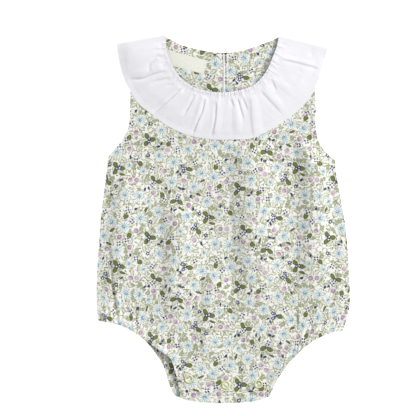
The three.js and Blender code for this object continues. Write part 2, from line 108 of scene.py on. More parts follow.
collarHemFront = [
    (-115.3, 380.6), (-108.8, 357.0), (-95.6, 333.0), (-80.9, 319.8), (-60.2, 305.0),
    (-39.3, 295.4), (-14.6, 290.8), (13.8, 290.4), (35.5, 293.2), (66.8, 310.2),
    (85.7, 325.4), (99.0, 342.4), (110.3, 374.7),
]
collarHemBack = [
    (-112.5, 378.0), (-99.0, 352.0), (-64.0, 336.0), (0.0, 331.0), (62.0, 336.0),
    (96.0, 352.0), (109.5, 375.0),
]
crotchHem = {"lowest": 0.3, "rise": 5.0, "cornerX": 45}
centreBackX = 0.7

# How the layers lie on each other
layers = {
    "backWall": 1.0,
    "frontWall": 1.2,
    "seamGap": 0.3,
    "underBack": 1.8,
    "neckDip": 0.8,
    "neckDipReach": 11,
    "neckBowl": 3.2,
    "neckBowlFade": (378, 404),
    "neckBowlReach": 17,
    "neckBowlX": (4, 30),
    "backRise": (298, 318),
    "frontRise": (280, 300),
    "puff": 0.7,
    "puffEdge": 22,
    "legLift": 0.6,
    "legLiftReach": 44,
    "legPuff": 2.7,
    "legPuffReach": 16,
    "legPuffY": (8, 40),
    "neckPuff": 3.3,
    "neckPuffReach": 34,
    "neckPuffFade": (376, 402),
    "collarEase": 0.6,
    "collarDroopX": (103.5, 117),
    "collarDroop": 1.0,
}
left, right = outline["left"], outline["right"]


# Lines and patches on the plan

def smoothLine(points, steps=24):
    # a curve through the points, as closely spaced places
    points = np.array(points, float)
    before = np.vstack([points[:1], points[:-2]])[:, None]
    after = np.vstack([points[2:], points[-1:]])[:, None]
    start, end = points[:-1, None], points[1:, None]
    t = np.linspace(0, 1, steps, endpoint=False)[None, :, None]
    slopeIn, slopeOut = (end - before) / 2, (after - start) / 2
    cubic = 2 * start - 2 * end + slopeIn + slopeOut
    square = -3 * start + 3 * end - 2 * slopeIn - slopeOut
    line = cubic * t**3 + square * t**2 + slopeIn * t + start
    return np.vstack([line.reshape(-1, 2), points[-1:]])


def joined(*lines):
    return np.vstack([lines[0]] + [line[1:] for line in lines[1:]])


def straight(start, end):
    return np.array([start, end], float)


def lengths(line):
    steps = np.linalg.norm(np.diff(line, axis=0), axis=1)
    return np.concatenate([[0], np.cumsum(steps)])


def along(line, shares):
    # the places at these shares of the line's length
    run = lengths(line)
    wanted = np.clip(shares, 0, 1) * run[-1]
    return np.column_stack([np.interp(wanted, run, part) for part in line.T])


def patch(low, high, before, after, corners, u, v):
    # places at (u, v) from those on the four sides and the four corners
    u1, v1 = u[:, None], v[:, None]
    across = low * (1 - v1) + high * v1
    upwards = before * (1 - u1) + after * u1
    overlap = (
        corners[0] * (1 - u1) * (1 - v1)
        + corners[1] * u1 * (1 - v1)
        + corners[2] * (1 - u1) * v1
        + corners[3] * u1 * v1
    )
    return across + upwards - overlap


def between(bottom, top, start, end, u, v):
    # the place at (u, v) between four curved sides
    corners = (bottom[0], bottom[-1], top[0], top[-1])
    return patch(along(bottom, u), along(top, u), along(start, v), along(end, v), corners, u, v)


def directionOf(line, u, step):
    # the unit direction of a line at each share along it
    ahead = along(line, np.clip(u + step, 0, 1)) - along(line, np.clip(u - step, 0, 1))
    return ahead / np.hypot(*ahead.T)[:, None]


def smooth(value, start, end):
    t = np.clip((value - start) / (end - start), 0, 1)
    return t * t * (3 - 2 * t)


def bell(distance, wide):
    # one on a line or a spot, and falling off softly on both sides of it
    return np.exp(-((distance / wide) ** 2))


def distanceTo(places, line, spacing=2.0):
    # how far each place is from a line, measured to closely spaced spots on it
    spots = along(line, np.linspace(0, 1, int(lengths(line)[-1] / spacing) + 2))
    nearest = np.full(len(places), np.inf)
    for spot in spots:
        nearest = np.minimum(nearest, np.hypot(*(places - spot).T))
    return nearest


def hemPlaces(xs):
    xs = np.asarray(xs, float)
    rise = crotchHem["rise"] * np.abs(xs / crotchHem["cornerX"]) ** 3
    return np.column_stack([xs, crotchHem["lowest"] + rise])


def legLine(side, leg, hemX):
    return smoothLine([side["hip"], *leg, tuple(hemPlaces([hemX])[0])])


frontLegs = {
    "left": legLine(left, left["frontLeg"], left["frontHemX"]),
    "right": legLine(right, right["frontLeg"], right["frontHemX"]),
}
sideLines = {name: smoothLine([s["hip"], *s["side"]]) for name, s in outline.items()}
armholes = {name: smoothLine([s["side"][-1], *s["armhole"]]) for name, s in outline.items()}
neckLines = {
    "front": smoothLine([left["neckPoint"], *frontNeck, right["neckPoint"]]),
    "back": smoothLine([left["neckPoint"], *backNeck, right["neckPoint"]]),
}
collarHems = {
    "front": smoothLine([left["ruffleCorner"], *collarHemFront, right["ruffleCorner"]]),
    "back": smoothLine([left["ruffleCorner"], *collarHemBack, right["ruffleCorner"]]),
}

# The plan's zero in the frame, from the middle press stud
studPlan = np.array([3.0, 20.4])
studMiddle = (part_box("snap_2")[0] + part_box("snap_2")[1]) / 2
planZero = np.array([studMiddle.x, studMiddle.y]) / mm - studPlan


def inFrame(places):
    # plan places with heights, in millimetres, as metres in the frame
    places = np.array(places, float)
    places[:, :2] += planZero
    return places * mm


# Press studs: where they sit, and the flat seat that each presses into the cloth
studs = {
    "snap_1": (-37.7, 27.0),
    "snap_2": (3.0, 20.4),
    "snap_3": (38.9, 21.5),
}
stud = {"outer": 5.15, "inner": 3.3, "high": 1.25, "around": 56, "section": 14, "flange": 0.35}
studSeat = {"flat": 6.5, "fade": 14.0, "proud": 0.12, "dome": 0.3}


def seatStuds(places, height):
    for node, spot in studs.items():
        far = np.hypot(*(places - np.array(spot)).T)
        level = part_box(node)[0].z / mm + studSeat["proud"]
        near = 1 - smooth(far, studSeat["flat"], studSeat["fade"])
        height = height * (1 - near) + level * near
        height += studSeat["dome"] * np.clip(1 - (far / stud["inner"]) ** 2, 0, 1)
    return height


# Folds and creases, listed one by one

def besideLine(places, line):
    # the distance from a line of a few points, positive on its left hand, and the share along it
    line = np.array(line, float)
    run = lengths(line)
    best = np.full(len(places), np.inf)
    signed = np.zeros(len(places))
    share = np.zeros(len(places))
    for i in range(len(line) - 1):
        step = line[i + 1] - line[i]
        reach = places - line[i]
        t = np.clip(reach @ step / (step @ step), 0, 1)
        away = reach - t[:, None] * step
        far = np.hypot(*away.T)
        turn = np.sign(reach[:, 1] * step[0] - reach[:, 0] * step[1])
        closer = far < best
        best = np.where(closer, far, best)
        signed = np.where(closer, far * np.where(turn == 0, 1, turn), signed)
        share = np.where(closer, (run[i] + t * (run[i + 1] - run[i])) / run[-1], share)
    return signed, share


def ridges(places, rows):
    # soft folds that rise from one trough and fall to the next; lines run down or outwards
    height = np.zeros(len(places))
    for row in rows:
        far, share = besideLine(places, row["line"])
        wide = np.where(far > 0, row["easy"], row["steep"])
        away = np.clip(np.abs(far) / wide, 0, 1)
        fade = smooth(share, 0, row.get("in", 0.12)) * (1 - smooth(share, row.get("out", 0.6), 1))
        height = np.maximum(height, row["high"] * fade * (1 - away**2) ** 2)
    return height


# Where a crease's lip and groove lie beside its line, in millimetres towards the lip
creaseShape = {
    "lipAt": 1.2,
    "grooveAt": -0.6,
    "soft": 2.6,  # the groove's width on its soft side, where a row gives no other
    "narrow": 0.8,  # and on its steep side
}


def creases(places, rows, lipShare=1.0):
    # sharp folds: a groove, steep towards a raised lip on the line's left hand and softer on
    # its right; side -1 turns them round
    shape = creaseShape
    height = np.zeros(len(places))
    for row in rows:
        far, share = besideLine(places, row["line"])
        far = far * row.get("side", 1)
        fade = smooth(share, 0, row.get("in", 0.15)) * (1 - smooth(share, row.get("out", 0.5), 1))
        fromGroove = far - shape["grooveAt"]
        lip = np.clip(1 - np.abs(far - shape["lipAt"]) / row["wide"], 0, 1) ** 1.5 * (far > -1)
        widths = [row.get(part, shape[part]) for part in ("soft", "narrow")]
        groove = bell(fromGroove, np.where(fromGroove < 0, *widths))
        height += fade * (lipShare * row["high"] * lip - row["deep"] * groove)
    return height


bodyFolds = [
    {
        "line": [(-108, 262), (-113, 200), (-112, 150), (-106, 92)],
        "high": 3.2, "easy": 34, "steep": 26,
    },
    {"line": [(-52, 226), (-50, 170), (-54, 130), (-48, 80)], "high": 4.8, "easy": 36, "steep": 20},
    {"line": [(27, 296), (33, 220), (34, 150), (30, 86)], "high": 6.0, "easy": 38, "steep": 28},
    {"line": [(96, 306), (100, 220), (99, 150), (94, 80)], "high": 4.9, "easy": 28, "steep": 21},
    {"line": [(-10, 150), (-14, 110), (-20, 66), (-16, 36)], "high": 2.6, "easy": 26, "steep": 17},
    {"line": [(131, 190), (132, 140), (127, 92)], "high": 2.5, "easy": 8, "steep": 10},
]
bodyCreases = [
    {
        "line": [(-125, 178), (-122.5, 158), (-120.5, 128), (-115, 90)],
        "deep": 1.5, "high": 0.7, "wide": 10, "out": 0.75,
    },
    {
        "line": [(-96.5, 116), (-95, 100), (-94, 84)],
        "deep": 0.8, "high": 0.6, "wide": 8, "out": 0.7,
    },
    {
        "line": [(-43, 61), (-52, 62), (-60, 63)],
        "side": -1, "deep": 0.9, "high": 0.6, "wide": 8, "in": 0.3,
    },
    {"line": [(98, 92), (99, 74)], "deep": 0.8, "high": 0.6, "wide": 7},
    {"line": [(82, 99), (83.5, 82)], "deep": 0.8, "high": 0.6, "wide": 7},
    {
        "line": [(-127, 262), (-122, 240), (-124, 214)],
        "deep": 0.3, "high": 0.5, "wide": 9, "narrow": 2.0,
    },
    {"line": [(3, 262), (9, 232), (8, 196)], "deep": 0.3, "high": 0.5, "wide": 12, "narrow": 2.5},
    {
        "line": [(58, 240), (62, 205), (60, 170)],
        "deep": 0.3, "high": 0.5, "wide": 12, "narrow": 2.5,
    },
    {
        "line": [(-30, 262), (-26, 240), (-28, 222)],
        "deep": 0.25, "high": 0.4, "wide": 10, "narrow": 2.5,
    },
    {
        "line": [(110, 262), (107, 240), (108, 214)],
        "deep": 0.3, "high": 0.4, "wide": 8, "narrow": 2.0,
    },
    {"line": [(60, 96), (48, 78), (40, 60)], "deep": 0.3, "high": 0.5, "wide": 10, "narrow": 2.2},
    {
        "line": [(-70, 92), (-56, 80), (-44, 76)],
        "deep": 0.3, "high": 0.5, "wide": 10, "narrow": 2.2,
    },
]
gathers = {
    "number": 18,
    "pitch": 4.6,
    "spread": 0.09,
    "high": 0.8,
    "reach": 22,
    "uneven": 0.3,
    "crotchShare": 0.4,
    "backShare": 0.4,
    "widening": 0.14,  # how much longer the cut edge is than the gathered one
    "stillShare": 0.72,  # how far down the leg the cloth isn't drawn either way
    "wideningReach": 50,
    "yoke": 999.0,  # how far from the leg edges the cloth over the chest counts as
}
longGathers = {
    "left": {2: (0.9, 34), 5: (1.0, 60), 8: (0.9, 34), 12: (0.8, 30)},
    "right": {2: (1.0, 30), 7: (1.1, 30), 10: (1.3, 42), 13: (0.9, 34)},
}


def gatherHeight(sideName, distance, up):
    # the leg's gathers; distance runs along the leg edge from the hip, up is away from it
    height = np.zeros(len(distance))
    for number in range(1, gathers["number"] + 1):
        middle = gathers["pitch"] * number + gathers["spread"] * number**2
        half = (gathers["pitch"] + gathers["spread"] * 2 * number) * 0.5
        uneven = 1 + gathers["uneven"] * math.sin(number * 2.4)
        toCrotch = 1 + (gathers["crotchShare"] - 1) * number / gathers["number"]
        usual = (gathers["high"] * uneven * toCrotch, gathers["reach"] * uneven)
        high, reach = longGathers[sideName].get(number, usual)
        across = np.clip(np.abs(distance - middle) / half, 0, 1)
        height += high * (1 - across**2) ** 1.2 * (1 - smooth(up, 0, reach))
    return height


def frontUnder(places):
    # the underside of the front where no gather lifts it
    size = layers
    fromLeg = np.min([distanceTo(places, line) for line in frontLegs.values()], axis=0)
    sides = (*sideLines.values(), *armholes.values())
    fromSide = np.min([distanceTo(places, line) for line in sides], axis=0)
    fromNeck = distanceTo(places, neckLines["front"])
    y = places[:, 1]
    rise = size["frontRise"]
    level = size["backWall"] + size["seamGap"] + size["underBack"] * smooth(y, *rise)
    lifted = size["legLift"] * (1 - smooth(fromLeg, 0, size["legLiftReach"]))
    underCollar = 1 - smooth(y, rise[0], rise[1] + 8)
    atLeg = (1 - smooth(fromLeg, 0, size["legPuffReach"])) * smooth(y, *size["legPuffY"])
    puffed = np.maximum(size["puff"] + ridges(places, bodyFolds), size["legPuff"] * atLeg)
    openCloth = smooth(fromSide, 0, size["puffEdge"])
    atNeck = bell(fromNeck, size["neckPuffReach"])
    atNeck *= 1 - smooth(y, *size["neckPuffFade"])
    return level + lifted + openCloth * underCollar * puffed + size["neckPuff"] * atNeck


def backUnder(places):
    # the back lies on the collar behind it and dips where the front's neck edge meets it
    size = layers
    fromNeck = distanceTo(places, neckLines["front"], 4)
    dip = size["neckDip"] * bell(fromNeck, size["neckDipReach"])
    bowl = size["neckBowl"] * np.clip(1 - fromNeck / size["neckBowlReach"], 0, 1) ** 2
    bowl *= smooth(places[:, 0], *size["neckBowlX"])
    bowl *= 1 - smooth(places[:, 1], *size["neckBowlFade"])
    return (size["underBack"] - dip) * smooth(places[:, 1], *size["backRise"]) + bowl


def collarUnder(places):
    # the underside of the collar over the front
    size = layers
    past = smooth(np.abs(places[:, 0]), *size["collarDroopX"])
    onPanel = size["underBack"] + size["backWall"] + size["frontWall"] + size["seamGap"]
    onPanel += size["collarEase"]
    overFront = frontUnder(places) + size["frontWall"] + size["collarEase"]
    return overFront * (1 - past) + (onPanel - size["collarDroop"]) * past


# Meshes

def newPiece(name, vertices, faces, flat=None):
    # a mesh object at the origin; flat gives each vertex its place in the cut, for the UV map
    mesh = bpy.data.meshes.new(name)
    mesh.from_pydata(vertices.tolist(), [], faces)
    if flat is not None:
        layer = mesh.uv_layers.new(name="flatCut")
        corner = np.zeros(len(mesh.loops), np.int32)
        mesh.loops.foreach_get("vertex_index", corner)
        layer.data.foreach_set("uv", np.asarray(flat)[corner].astype(np.float32).ravel())
    mesh.polygons.foreach_set("use_smooth", np.ones(len(mesh.polygons), bool))
    mesh.update()
    mesh.set_sharp_from_angle(angle=math.radians(65))
    piece = bpy.data.objects.new(name, mesh)
    bpy.context.scene.collection.objects.link(piece)
    return piece


def zipRows(counts, first):
    # the faces between rows of a sheet, where a row has as many spaces as the one below or half
    faces = []
    start = first
    for lower, upper in zip(counts[:-1], counts[1:]):
        above = start + lower
        if upper == lower:
            faces += [
                (start + i, start + i + 1, above + i + 1, above + i) for i in range(lower - 1)
            ]
        else:
            faces += [
                (start + 2 * i, start + 2 * i + 1, start + 2 * i + 2, above + i + 1, above + i)
                for i in range(upper - 1)
            ]
        start = above
    return faces


def sheetShell(name, rows, flatRows, thick):
    # closed cloth: fine rows on top, and every second place of every second row below
    counts = [len(row) for row in rows]
    tops = np.vstack(rows)
    underRows = [row[::2] - [0, 0, thick] for row in rows[::2]]
    underCounts = [len(row) for row in underRows]
    unders = np.vstack(underRows)
    flat = np.vstack([np.vstack(flatRows), np.vstack([row[::2] for row in flatRows[::2]])])
    faces = zipRows(counts, 0)
    faces += [face[::-1] for face in zipRows(underCounts, len(tops))]
    starts = np.concatenate([[0], np.cumsum(counts)])
    underStarts = np.concatenate([[0], np.cumsum(underCounts)]) + len(tops)
    rim = [starts[0] + i for i in range(counts[0])]
    rim += [starts[r] + counts[r] - 1 for r in range(1, len(rows))]
    rim += [starts[-2] + i for i in range(counts[-1] - 2, -1, -1)]
    rim += [starts[r] for r in range(len(rows) - 2, 0, -1)]
    underRim = [underStarts[0] + i for i in range(underCounts[0])]
    underRim += [underStarts[r] + underCounts[r] - 1 for r in range(1, len(underRows))]
    underRim += [underStarts[-2] + i for i in range(underCounts[-1] - 2, -1, -1)]
    underRim += [underStarts[r] for r in range(len(underRows) - 2, 0, -1)]
    size = len(underRim)
    for i in range(size):
        a, b, c = (rim[(2 * i + k) % len(rim)] for k in (0, 1, 2))
        faces.append((underRim[i], underRim[(i + 1) % size], c, b, a))
    faces = [tuple(int(corner) for corner in face) for face in faces]
    vertices = inFrame(np.vstack([tops, unders]))
    return newPiece(name, vertices, faces, flat * mm)


# Front

frontCloth = {
    "thick": 0.6,
    "rise": 1.0,  # of its upper side over the underside of the stiff panel
    "legColumns": 560,
    "legRows": 44,
    "legZone": 0.35,
    "bodyRows": 92,
    "yokeRows": 56,
    "shoulderShare": 1 / 6,
    "hemGroove": 0.35,
    "grooveWide": 0.9,
    "hemWide": 6.0,
    "armholeHem": 5.5,
    "crumple": 0.12,
    "crumpleFade": (274, 290),
}


def crumple(places, seed, scale=1.0):
    # small uneven waves that cotton keeps after a wash
    rng = np.random.default_rng(seed)
    height = np.zeros(len(places))
    for wave in (46, 33, 24, 17, 12):
        for _ in range(4):
            angle, phase = rng.uniform(0, math.pi), rng.uniform(0, 2 * math.pi)
            across = places[:, 0] * math.cos(angle) + places[:, 1] * math.sin(angle)
            bend = 0.35 * wave * np.sin(places[:, 1] / (2.3 * wave) + 2 * phase)
            height += wave / 46 * np.sin(2 * math.pi * (across + bend) / (wave * scale) + phase)
    return height / 4


def frontLines():
    hemX = (left["frontHemX"], right["frontHemX"])
    hem = hemPlaces(np.linspace(*hemX, 60))
    bottom = joined(frontLegs["left"], hem, frontLegs["right"][::-1])
    chest = straight(left["side"][-1], right["side"][-1])
    shares = np.linspace(0, 1, 400)
    part = frontCloth["shoulderShare"]
    shoulderLeft = along(straight(left["armhole"][-1], left["neckPoint"]), shares / part)
    shoulderRight = along(straight(right["armhole"][-1], right["neckPoint"]), (1 - shares) / part)
    neck = along(neckLines["front"], (shares - part) / (1 - 2 * part))
    top = np.where((shares <= part)[:, None], shoulderLeft, neck)
    top = np.where((shares >= 1 - part)[:, None], shoulderRight, top)
    return bottom, chest, top, shares


frontBottom, frontChest, frontTopPlaces, frontTopShares = frontLines()


def alongTop(u):
    return np.column_stack(
        [np.interp(u, frontTopShares, frontTopPlaces[:, axis]) for axis in (0, 1)]
    )


def frontPlan(u, t):
    # the plan place; t runs from the leg edges (0) to the chest (1) and the neck (2)
    sides = (sideLines["left"], sideLines["right"])
    body = between(frontBottom, frontChest, *sides, u, np.clip(t, 0, 1))
    v = np.clip(t - 1, 0, 1)
    sides = (along(armholes["left"], v), along(armholes["right"], v))
    corners = (frontChest[0], frontChest[-1], frontTopPlaces[0], frontTopPlaces[-1])
    yoke = patch(along(frontChest, u), alongTop(u), *sides, corners, u, v)
    return np.where((t <= 1)[:, None], body, yoke)


def flare(places, direction, fromMiddle, up):
    # moves places along the leg edge to where they were in the cut, before it was gathered
    fade = 1 - smooth(up, 0, gathers["wideningReach"])
    return places + direction * (gathers["widening"] * fromMiddle * fade)[:, None]


def frontSurface(u, t):
    # the upper side of the front and its places in the cut
    plan = frontPlan(u, t)
    edge = along(frontBottom, u)
    total = lengths(frontBottom)[-1]
    up = np.where(t <= 1, np.hypot(*(plan - edge).T), gathers["yoke"])
    fromLeft, fromRight = u * total, (1 - u) * total
    height = frontUnder(plan) + frontCloth["rise"]
    height += gatherHeight("left", fromLeft, up) + gatherHeight("right", fromRight, up)
    height += creases(plan, bodyCreases)
    underCollar = smooth(plan[:, 1], *frontCloth["crumpleFade"])
    height += frontCloth["crumple"] * crumple(plan, 3) * (1 - underCollar)
    groove = frontCloth["hemGroove"] * bell(up - frontCloth["hemWide"], frontCloth["grooveWide"])
    height = seatStuds(plan, height - groove)
    # how far each place was drawn along the edge when it was gathered, from the still spot
    legLength = {name: lengths(line)[-1] for name, line in frontLegs.items()}
    onLeft = fromLeft < legLength["left"]
    onRight = fromRight < legLength["right"]
    still = gathers["stillShare"]
    fromMiddle = np.where(onLeft, fromLeft - still * legLength["left"], 0.0)
    fromMiddle = np.where(onRight, still * legLength["right"] - fromRight, fromMiddle)
    hemShare = (fromLeft - legLength["left"]) / (total - legLength["left"] - legLength["right"])
    acrossHem = legLength["left"] * (1 - hemShare) - legLength["right"] * hemShare
    fromMiddle = np.where(onLeft | onRight, fromMiddle, (1 - still) * acrossHem)
    cut = flare(plan, directionOf(frontBottom, u, 0.004), fromMiddle, up)
    return np.column_stack([plan, height]), cut


def frontPiece():
    size = frontCloth
    legT = np.linspace(0, size["legZone"], size["legRows"] + 1)
    bodyT = np.linspace(size["legZone"], 1, size["bodyRows"] + 1)[1:]
    yokeT = np.linspace(1, 2, size["yokeRows"] + 1)[1:]
    rows = []
    for t in (*legT, *bodyT, *yokeT):
        columns = size["legColumns"] if t <= size["legZone"] else size["legColumns"] // 2
        u = np.linspace(0, 1, columns + 1)
        rows.append((u, np.full(columns + 1, t)))
    u = np.concatenate([row[0] for row in rows])
    t = np.concatenate([row[1] for row in rows])
    places, cut = frontSurface(u, t)
    ends = np.cumsum([len(row[0]) for row in rows])[:-1]
    return sheetShell("front_cloth", np.split(places, ends), np.split(cut, ends), size["thick"])


# Backs

backCloth = {
    "thick": 0.5,
    "rise": 0.85,
    "columns": 240,
    "bodyRows": 84,
    "yokeRows": 44,
    "shoulderShare": 0.4,
    "cutShift": (37.0, 61.0),  # the backs were cut from another place of the print
}
backCreases = [
    {"line": [(31, 388), (30, 378), (33, 372)], "deep": 0.5, "high": 0.5, "wide": 5},
    {"line": [(40, 384), (36, 366), (35, 352)], "deep": 0.5, "high": 0.6, "wide": 6, "in": 0.3},
    {"line": [(52, 388), (46, 372), (40, 356)], "deep": 0.5, "high": 0.6, "wide": 6, "in": 0.3},
    {"line": [(-52, 387), (-34, 382), (-20, 378)], "deep": 0.5, "high": 0.5, "wide": 5, "in": 0.3},
    {
        "line": [(2.6, 390), (2.9, 360), (2.7, 336)],
        "deep": 1.1, "high": 0.0, "wide": 5, "soft": 0.7, "in": 0.05,
    },
]


def backPiece(name):
    side = outline[name]
    size = backCloth
    centreX = centreBackX - side["inwards"] * 0.1
    leg = legLine(side, side["backLeg"], side["backHemX"])
    hem = hemPlaces(np.linspace(side["backHemX"], centreX, 40))
    bottom = joined(leg, hem)
    armpit = side["side"][-1]
    chest = straight(armpit, (centreX, armpit[1]))
    part = size["shoulderShare"]
    shares = np.linspace(0, 1, 300)
    shoulder = along(straight(side["armhole"][-1], side["neckPoint"]), shares / part)
    inwards = np.clip((shares - part) / (1 - part), 0, 1)
    half = inwards / 2 if name == "left" else 1 - inwards / 2
    neck = along(neckLines["back"], half)
    middle = along(neckLines["back"], np.array([0.5]))[0]
    neck[:, 0] += (centreX - middle[0]) * inwards
    top = np.where((shares <= part)[:, None], shoulder, neck)
    u = np.linspace(0, 1, size["columns"] + 1)
    rows, cuts = [], []
    legLength = lengths(leg)[-1]
    total = lengths(bottom)[-1]
    edge = along(bottom, u)
    bodyT = np.linspace(0, 1, size["bodyRows"] + 1)
    yokeT = np.linspace(1, 2, size["yokeRows"] + 1)[1:]
    for t in (*bodyT, *yokeT):
        v = np.full(len(u), t if t <= 1 else t - 1)
        if t <= 1:
            centre = straight(hemPlaces([centreX])[0], (centreX, armpit[1]))
            plan = between(bottom, chest, sideLines[name], centre, u, v)
            up = np.hypot(*(plan - edge).T)
        else:
            centre = straight((centreX, armpit[1]), (centreX, middle[1]))
            topLine = np.column_stack([np.interp(u, shares, top[:, axis]) for axis in (0, 1)])
            sides = (along(armholes[name], v), along(centre, v))
            corners = (chest[0], chest[-1], top[0], top[-1])
            plan = patch(along(chest, u), topLine, *sides, corners, u, v)
            up = np.full(len(u), gathers["yoke"])
        height = backUnder(plan) + size["rise"]
        height += gathers["backShare"] * gatherHeight(name, u * total, up)
        height += creases(plan, backCreases)
        fromMiddle = np.minimum(u * total, legLength) - gathers["stillShare"] * legLength
        cut = flare(plan, directionOf(bottom, u, 0.006), fromMiddle, up) + size["cutShift"]
        rows.append(np.column_stack([plan, height]))
        cuts.append(cut)
    if name == "right":
        rows = [row[::-1] for row in rows]
        cuts = [cut[::-1] for cut in cuts]
    return sheetShell(f"back_cloth_{name}", rows, cuts, size["thick"])


# Collar

collarCloth = {
    "thick": 0.6,
    "frontSteps": 680,
    "backSteps": 260,
    "turnSteps": 16,
    "acrossSteps": 36,
    "puckers": 78,
    "puckerHigh": 0.5,
    "puckerReach": 0.17,
    "pleats": 31,
    "pleatHigh": 0.34,
    "pleatReach": 0.42,
    "bandWide": 5.5,
    "hemWide": 7.0,
    "groove": 0.12,
    "grooveWide": 0.8,
    "hemThick": 0.14,
    "hemDrop": 1.36,
    "hemDropReach": 22,
    "foldShare": 0.42,
    "lipShare": 0.28,
    "crumple": 0.1,
    "lie": 0.2,  # how far its underside stays off the panel
    "turnShare": 0.042,  # of the way round, kept plain beside each shoulder
    "backPucker": 0.45,
    "cutStep": 0.9,  # how much cut there is from one step round to the next
    "cutWide": 52.0,
}
collarFolds = [
    {"line": [(-66, 372), (-103, 359)], "high": 1.8, "easy": 6, "steep": 6},
    {"line": [(-45, 348), (-75, 322)], "high": 1.9, "easy": 8, "steep": 6},
    {"line": [(-20, 339), (-33, 297)], "high": 1.9, "easy": 8, "steep": 6, "out": 0.8},
    {"line": [(-7, 336), (-11, 294)], "high": 1.5, "easy": 9, "steep": 6, "out": 0.8},
    {"line": [(14, 338), (16, 294)], "high": 1.3, "easy": 7, "steep": 6, "out": 0.8},
    {"line": [(31, 340), (36, 294)], "high": 1.6, "easy": 10, "steep": 7, "out": 0.8},
    {"line": [(43, 348), (70, 318)], "high": 1.1, "easy": 7, "steep": 6},
    {"line": [(52, 358), (80, 340)], "high": 1.0, "easy": 7, "steep": 6},
    {"line": [(62, 380), (106, 370)], "high": 0.9, "easy": 6, "steep": 5},
    {"line": [(-68, 394), (-96, 388)], "high": 0.9, "easy": 5, "steep": 5},
    {"line": [(60, 398), (84, 397)], "high": 0.9, "easy": 4, "steep": 4},
]
collarCreases = [
    {
        "line": [(-61, 367), (-78, 362), (-88, 358), (-105, 357)],
        "side": -1, "deep": 1.0, "high": 0.9, "wide": 8, "out": 0.8,
    },
    {
        "line": [(-80, 364), (-80, 373), (-72, 381), (-66, 376)],
        "side": -1, "deep": 0.6, "high": 0.5, "wide": 4, "in": 0.1, "out": 0.7,
    },
    {"line": [(-58, 359), (-75, 355), (-85, 350)], "side": -1, "deep": 0.7, "high": 0.7, "wide": 6},
    {"line": [(-55, 352), (-64, 350)], "side": -1, "deep": 0.5, "high": 0.4, "wide": 4},
    {
        "line": [(-44, 346), (-50, 342), (-62, 331), (-77, 319)],
        "deep": 1.6, "high": 1.1, "wide": 8, "out": 0.85,
    },
    {
        "line": [(-30, 340), (-35, 330), (-44, 315)],
        "deep": 0.95, "high": 0.6, "wide": 6, "out": 0.7,
    },
    {
        "line": [(-19, 337), (-22, 322), (-27, 311), (-35, 292)],
        "deep": 1.0, "high": 0.9, "wide": 7, "out": 0.9,
    },
    {"line": [(-7, 333), (-8, 314), (-12, 292)], "deep": 0.8, "high": 0.8, "wide": 7, "out": 0.85},
    {"line": [(9, 335), (13, 324)], "deep": 0.5, "high": 0.5, "wide": 4},
    {"line": [(16, 337), (20, 323), (24, 308)], "deep": 0.8, "high": 0.7, "wide": 6},
    {"line": [(22, 337), (28, 320)], "deep": 0.6, "high": 0.5, "wide": 5},
    {"line": [(30, 338), (31, 314), (34, 290)], "deep": 0.25, "high": 0.5, "wide": 9, "out": 0.9},
    {"line": [(41, 345), (52, 333), (68, 316)], "deep": 0.25, "high": 0.5, "wide": 7, "out": 0.7},
    {"line": [(62, 379), (82, 375), (105, 369)], "deep": 0.6, "high": 0.5, "wide": 6, "out": 0.9},
    {"line": [(54, 357), (60, 341)], "deep": 0.5, "high": 0.5, "wide": 5},
    {"line": [(-63, 384), (-84, 380)], "side": -1, "deep": 0.4, "high": 0.5, "wide": 5},
    {"line": [(-62, 390), (-80, 390)], "side": -1, "deep": 0.4, "high": 0.4, "wide": 4},
    {"line": [(61, 396), (74, 399), (88, 398)], "deep": 0.6, "high": 0.4, "wide": 4},
    {"line": [(100, 392), (98, 378)], "deep": 0.4, "high": 0.4, "wide": 5},
    {"line": [(88, 366), (78, 352)], "deep": 0.3, "high": 0.4, "wide": 6, "narrow": 1.4},
]


def collarPlan(side, around, across):
    # plan places on the collar, and how wide it is there
    neck, hem = along(neckLines[side], around), along(collarHems[side], around)
    return neck * (1 - across[:, None]) + hem * across[:, None], np.hypot(*(hem - neck).T)


def collarTop(around, across):
    # the upper side of the collar over the front
    plan, wide = collarPlan("front", around, across)
    fromNeck, fromHem = across * wide, (1 - across) * wide
    height = np.zeros(len(around))
    for kind in ("pucker", "pleat"):
        number = around * collarCloth[kind + "s"] + 0.6 * np.sin(around * 23)
        uneven = 0.75 + 0.45 * np.sin(np.floor(number) * 2.4)
        reach = collarCloth[kind + "Reach"] * (0.8 + 0.5 * np.sin(np.floor(number) * 4.1))
        wave = np.abs(np.sin(math.pi * number)) ** 0.8
        height += wave * uneven * collarCloth[kind + "High"] * (1 - smooth(across, 0, reach))
    height += collarCloth["foldShare"] * ridges(plan, collarFolds)
    height += creases(plan, collarCreases, collarCloth["lipShare"])
    height += collarCloth["crumple"] * crumple(plan, 8, 0.8)
    awayFromTurn = smooth(np.minimum(around, 1 - around), 0, collarCloth["turnShare"])
    height -= collarCloth["hemDrop"] * (1 - smooth(fromHem, 0, collarCloth["hemDropReach"]))
    height = np.maximum(height, -collarCloth["hemDrop"])
    height = collarUnder(plan) + awayFromTurn * height + collarCloth["thick"] + collarCloth["lie"]
    for distance, place in ((fromNeck, "bandWide"), (fromHem, "hemWide")):
        line = bell(distance - collarCloth[place], collarCloth["grooveWide"])
        height -= collarCloth["groove"] * line * awayFromTurn
    return np.column_stack([plan, height])


def collarBack(around, across):
    # the collar's outer side under the back, which lies on the floor
    plan, _ = collarPlan("back", around, across)
    pucker = np.sin(math.pi * (around * collarCloth["pleats"] % 1.0)) ** 2
    awayFromTurn = smooth(np.minimum(around, 1 - around), 0, collarCloth["turnShare"])
    pucker *= collarCloth["backPucker"] * awayFromTurn * (1 - smooth(across, 0, 0.5))
    return np.column_stack([plan, pucker])


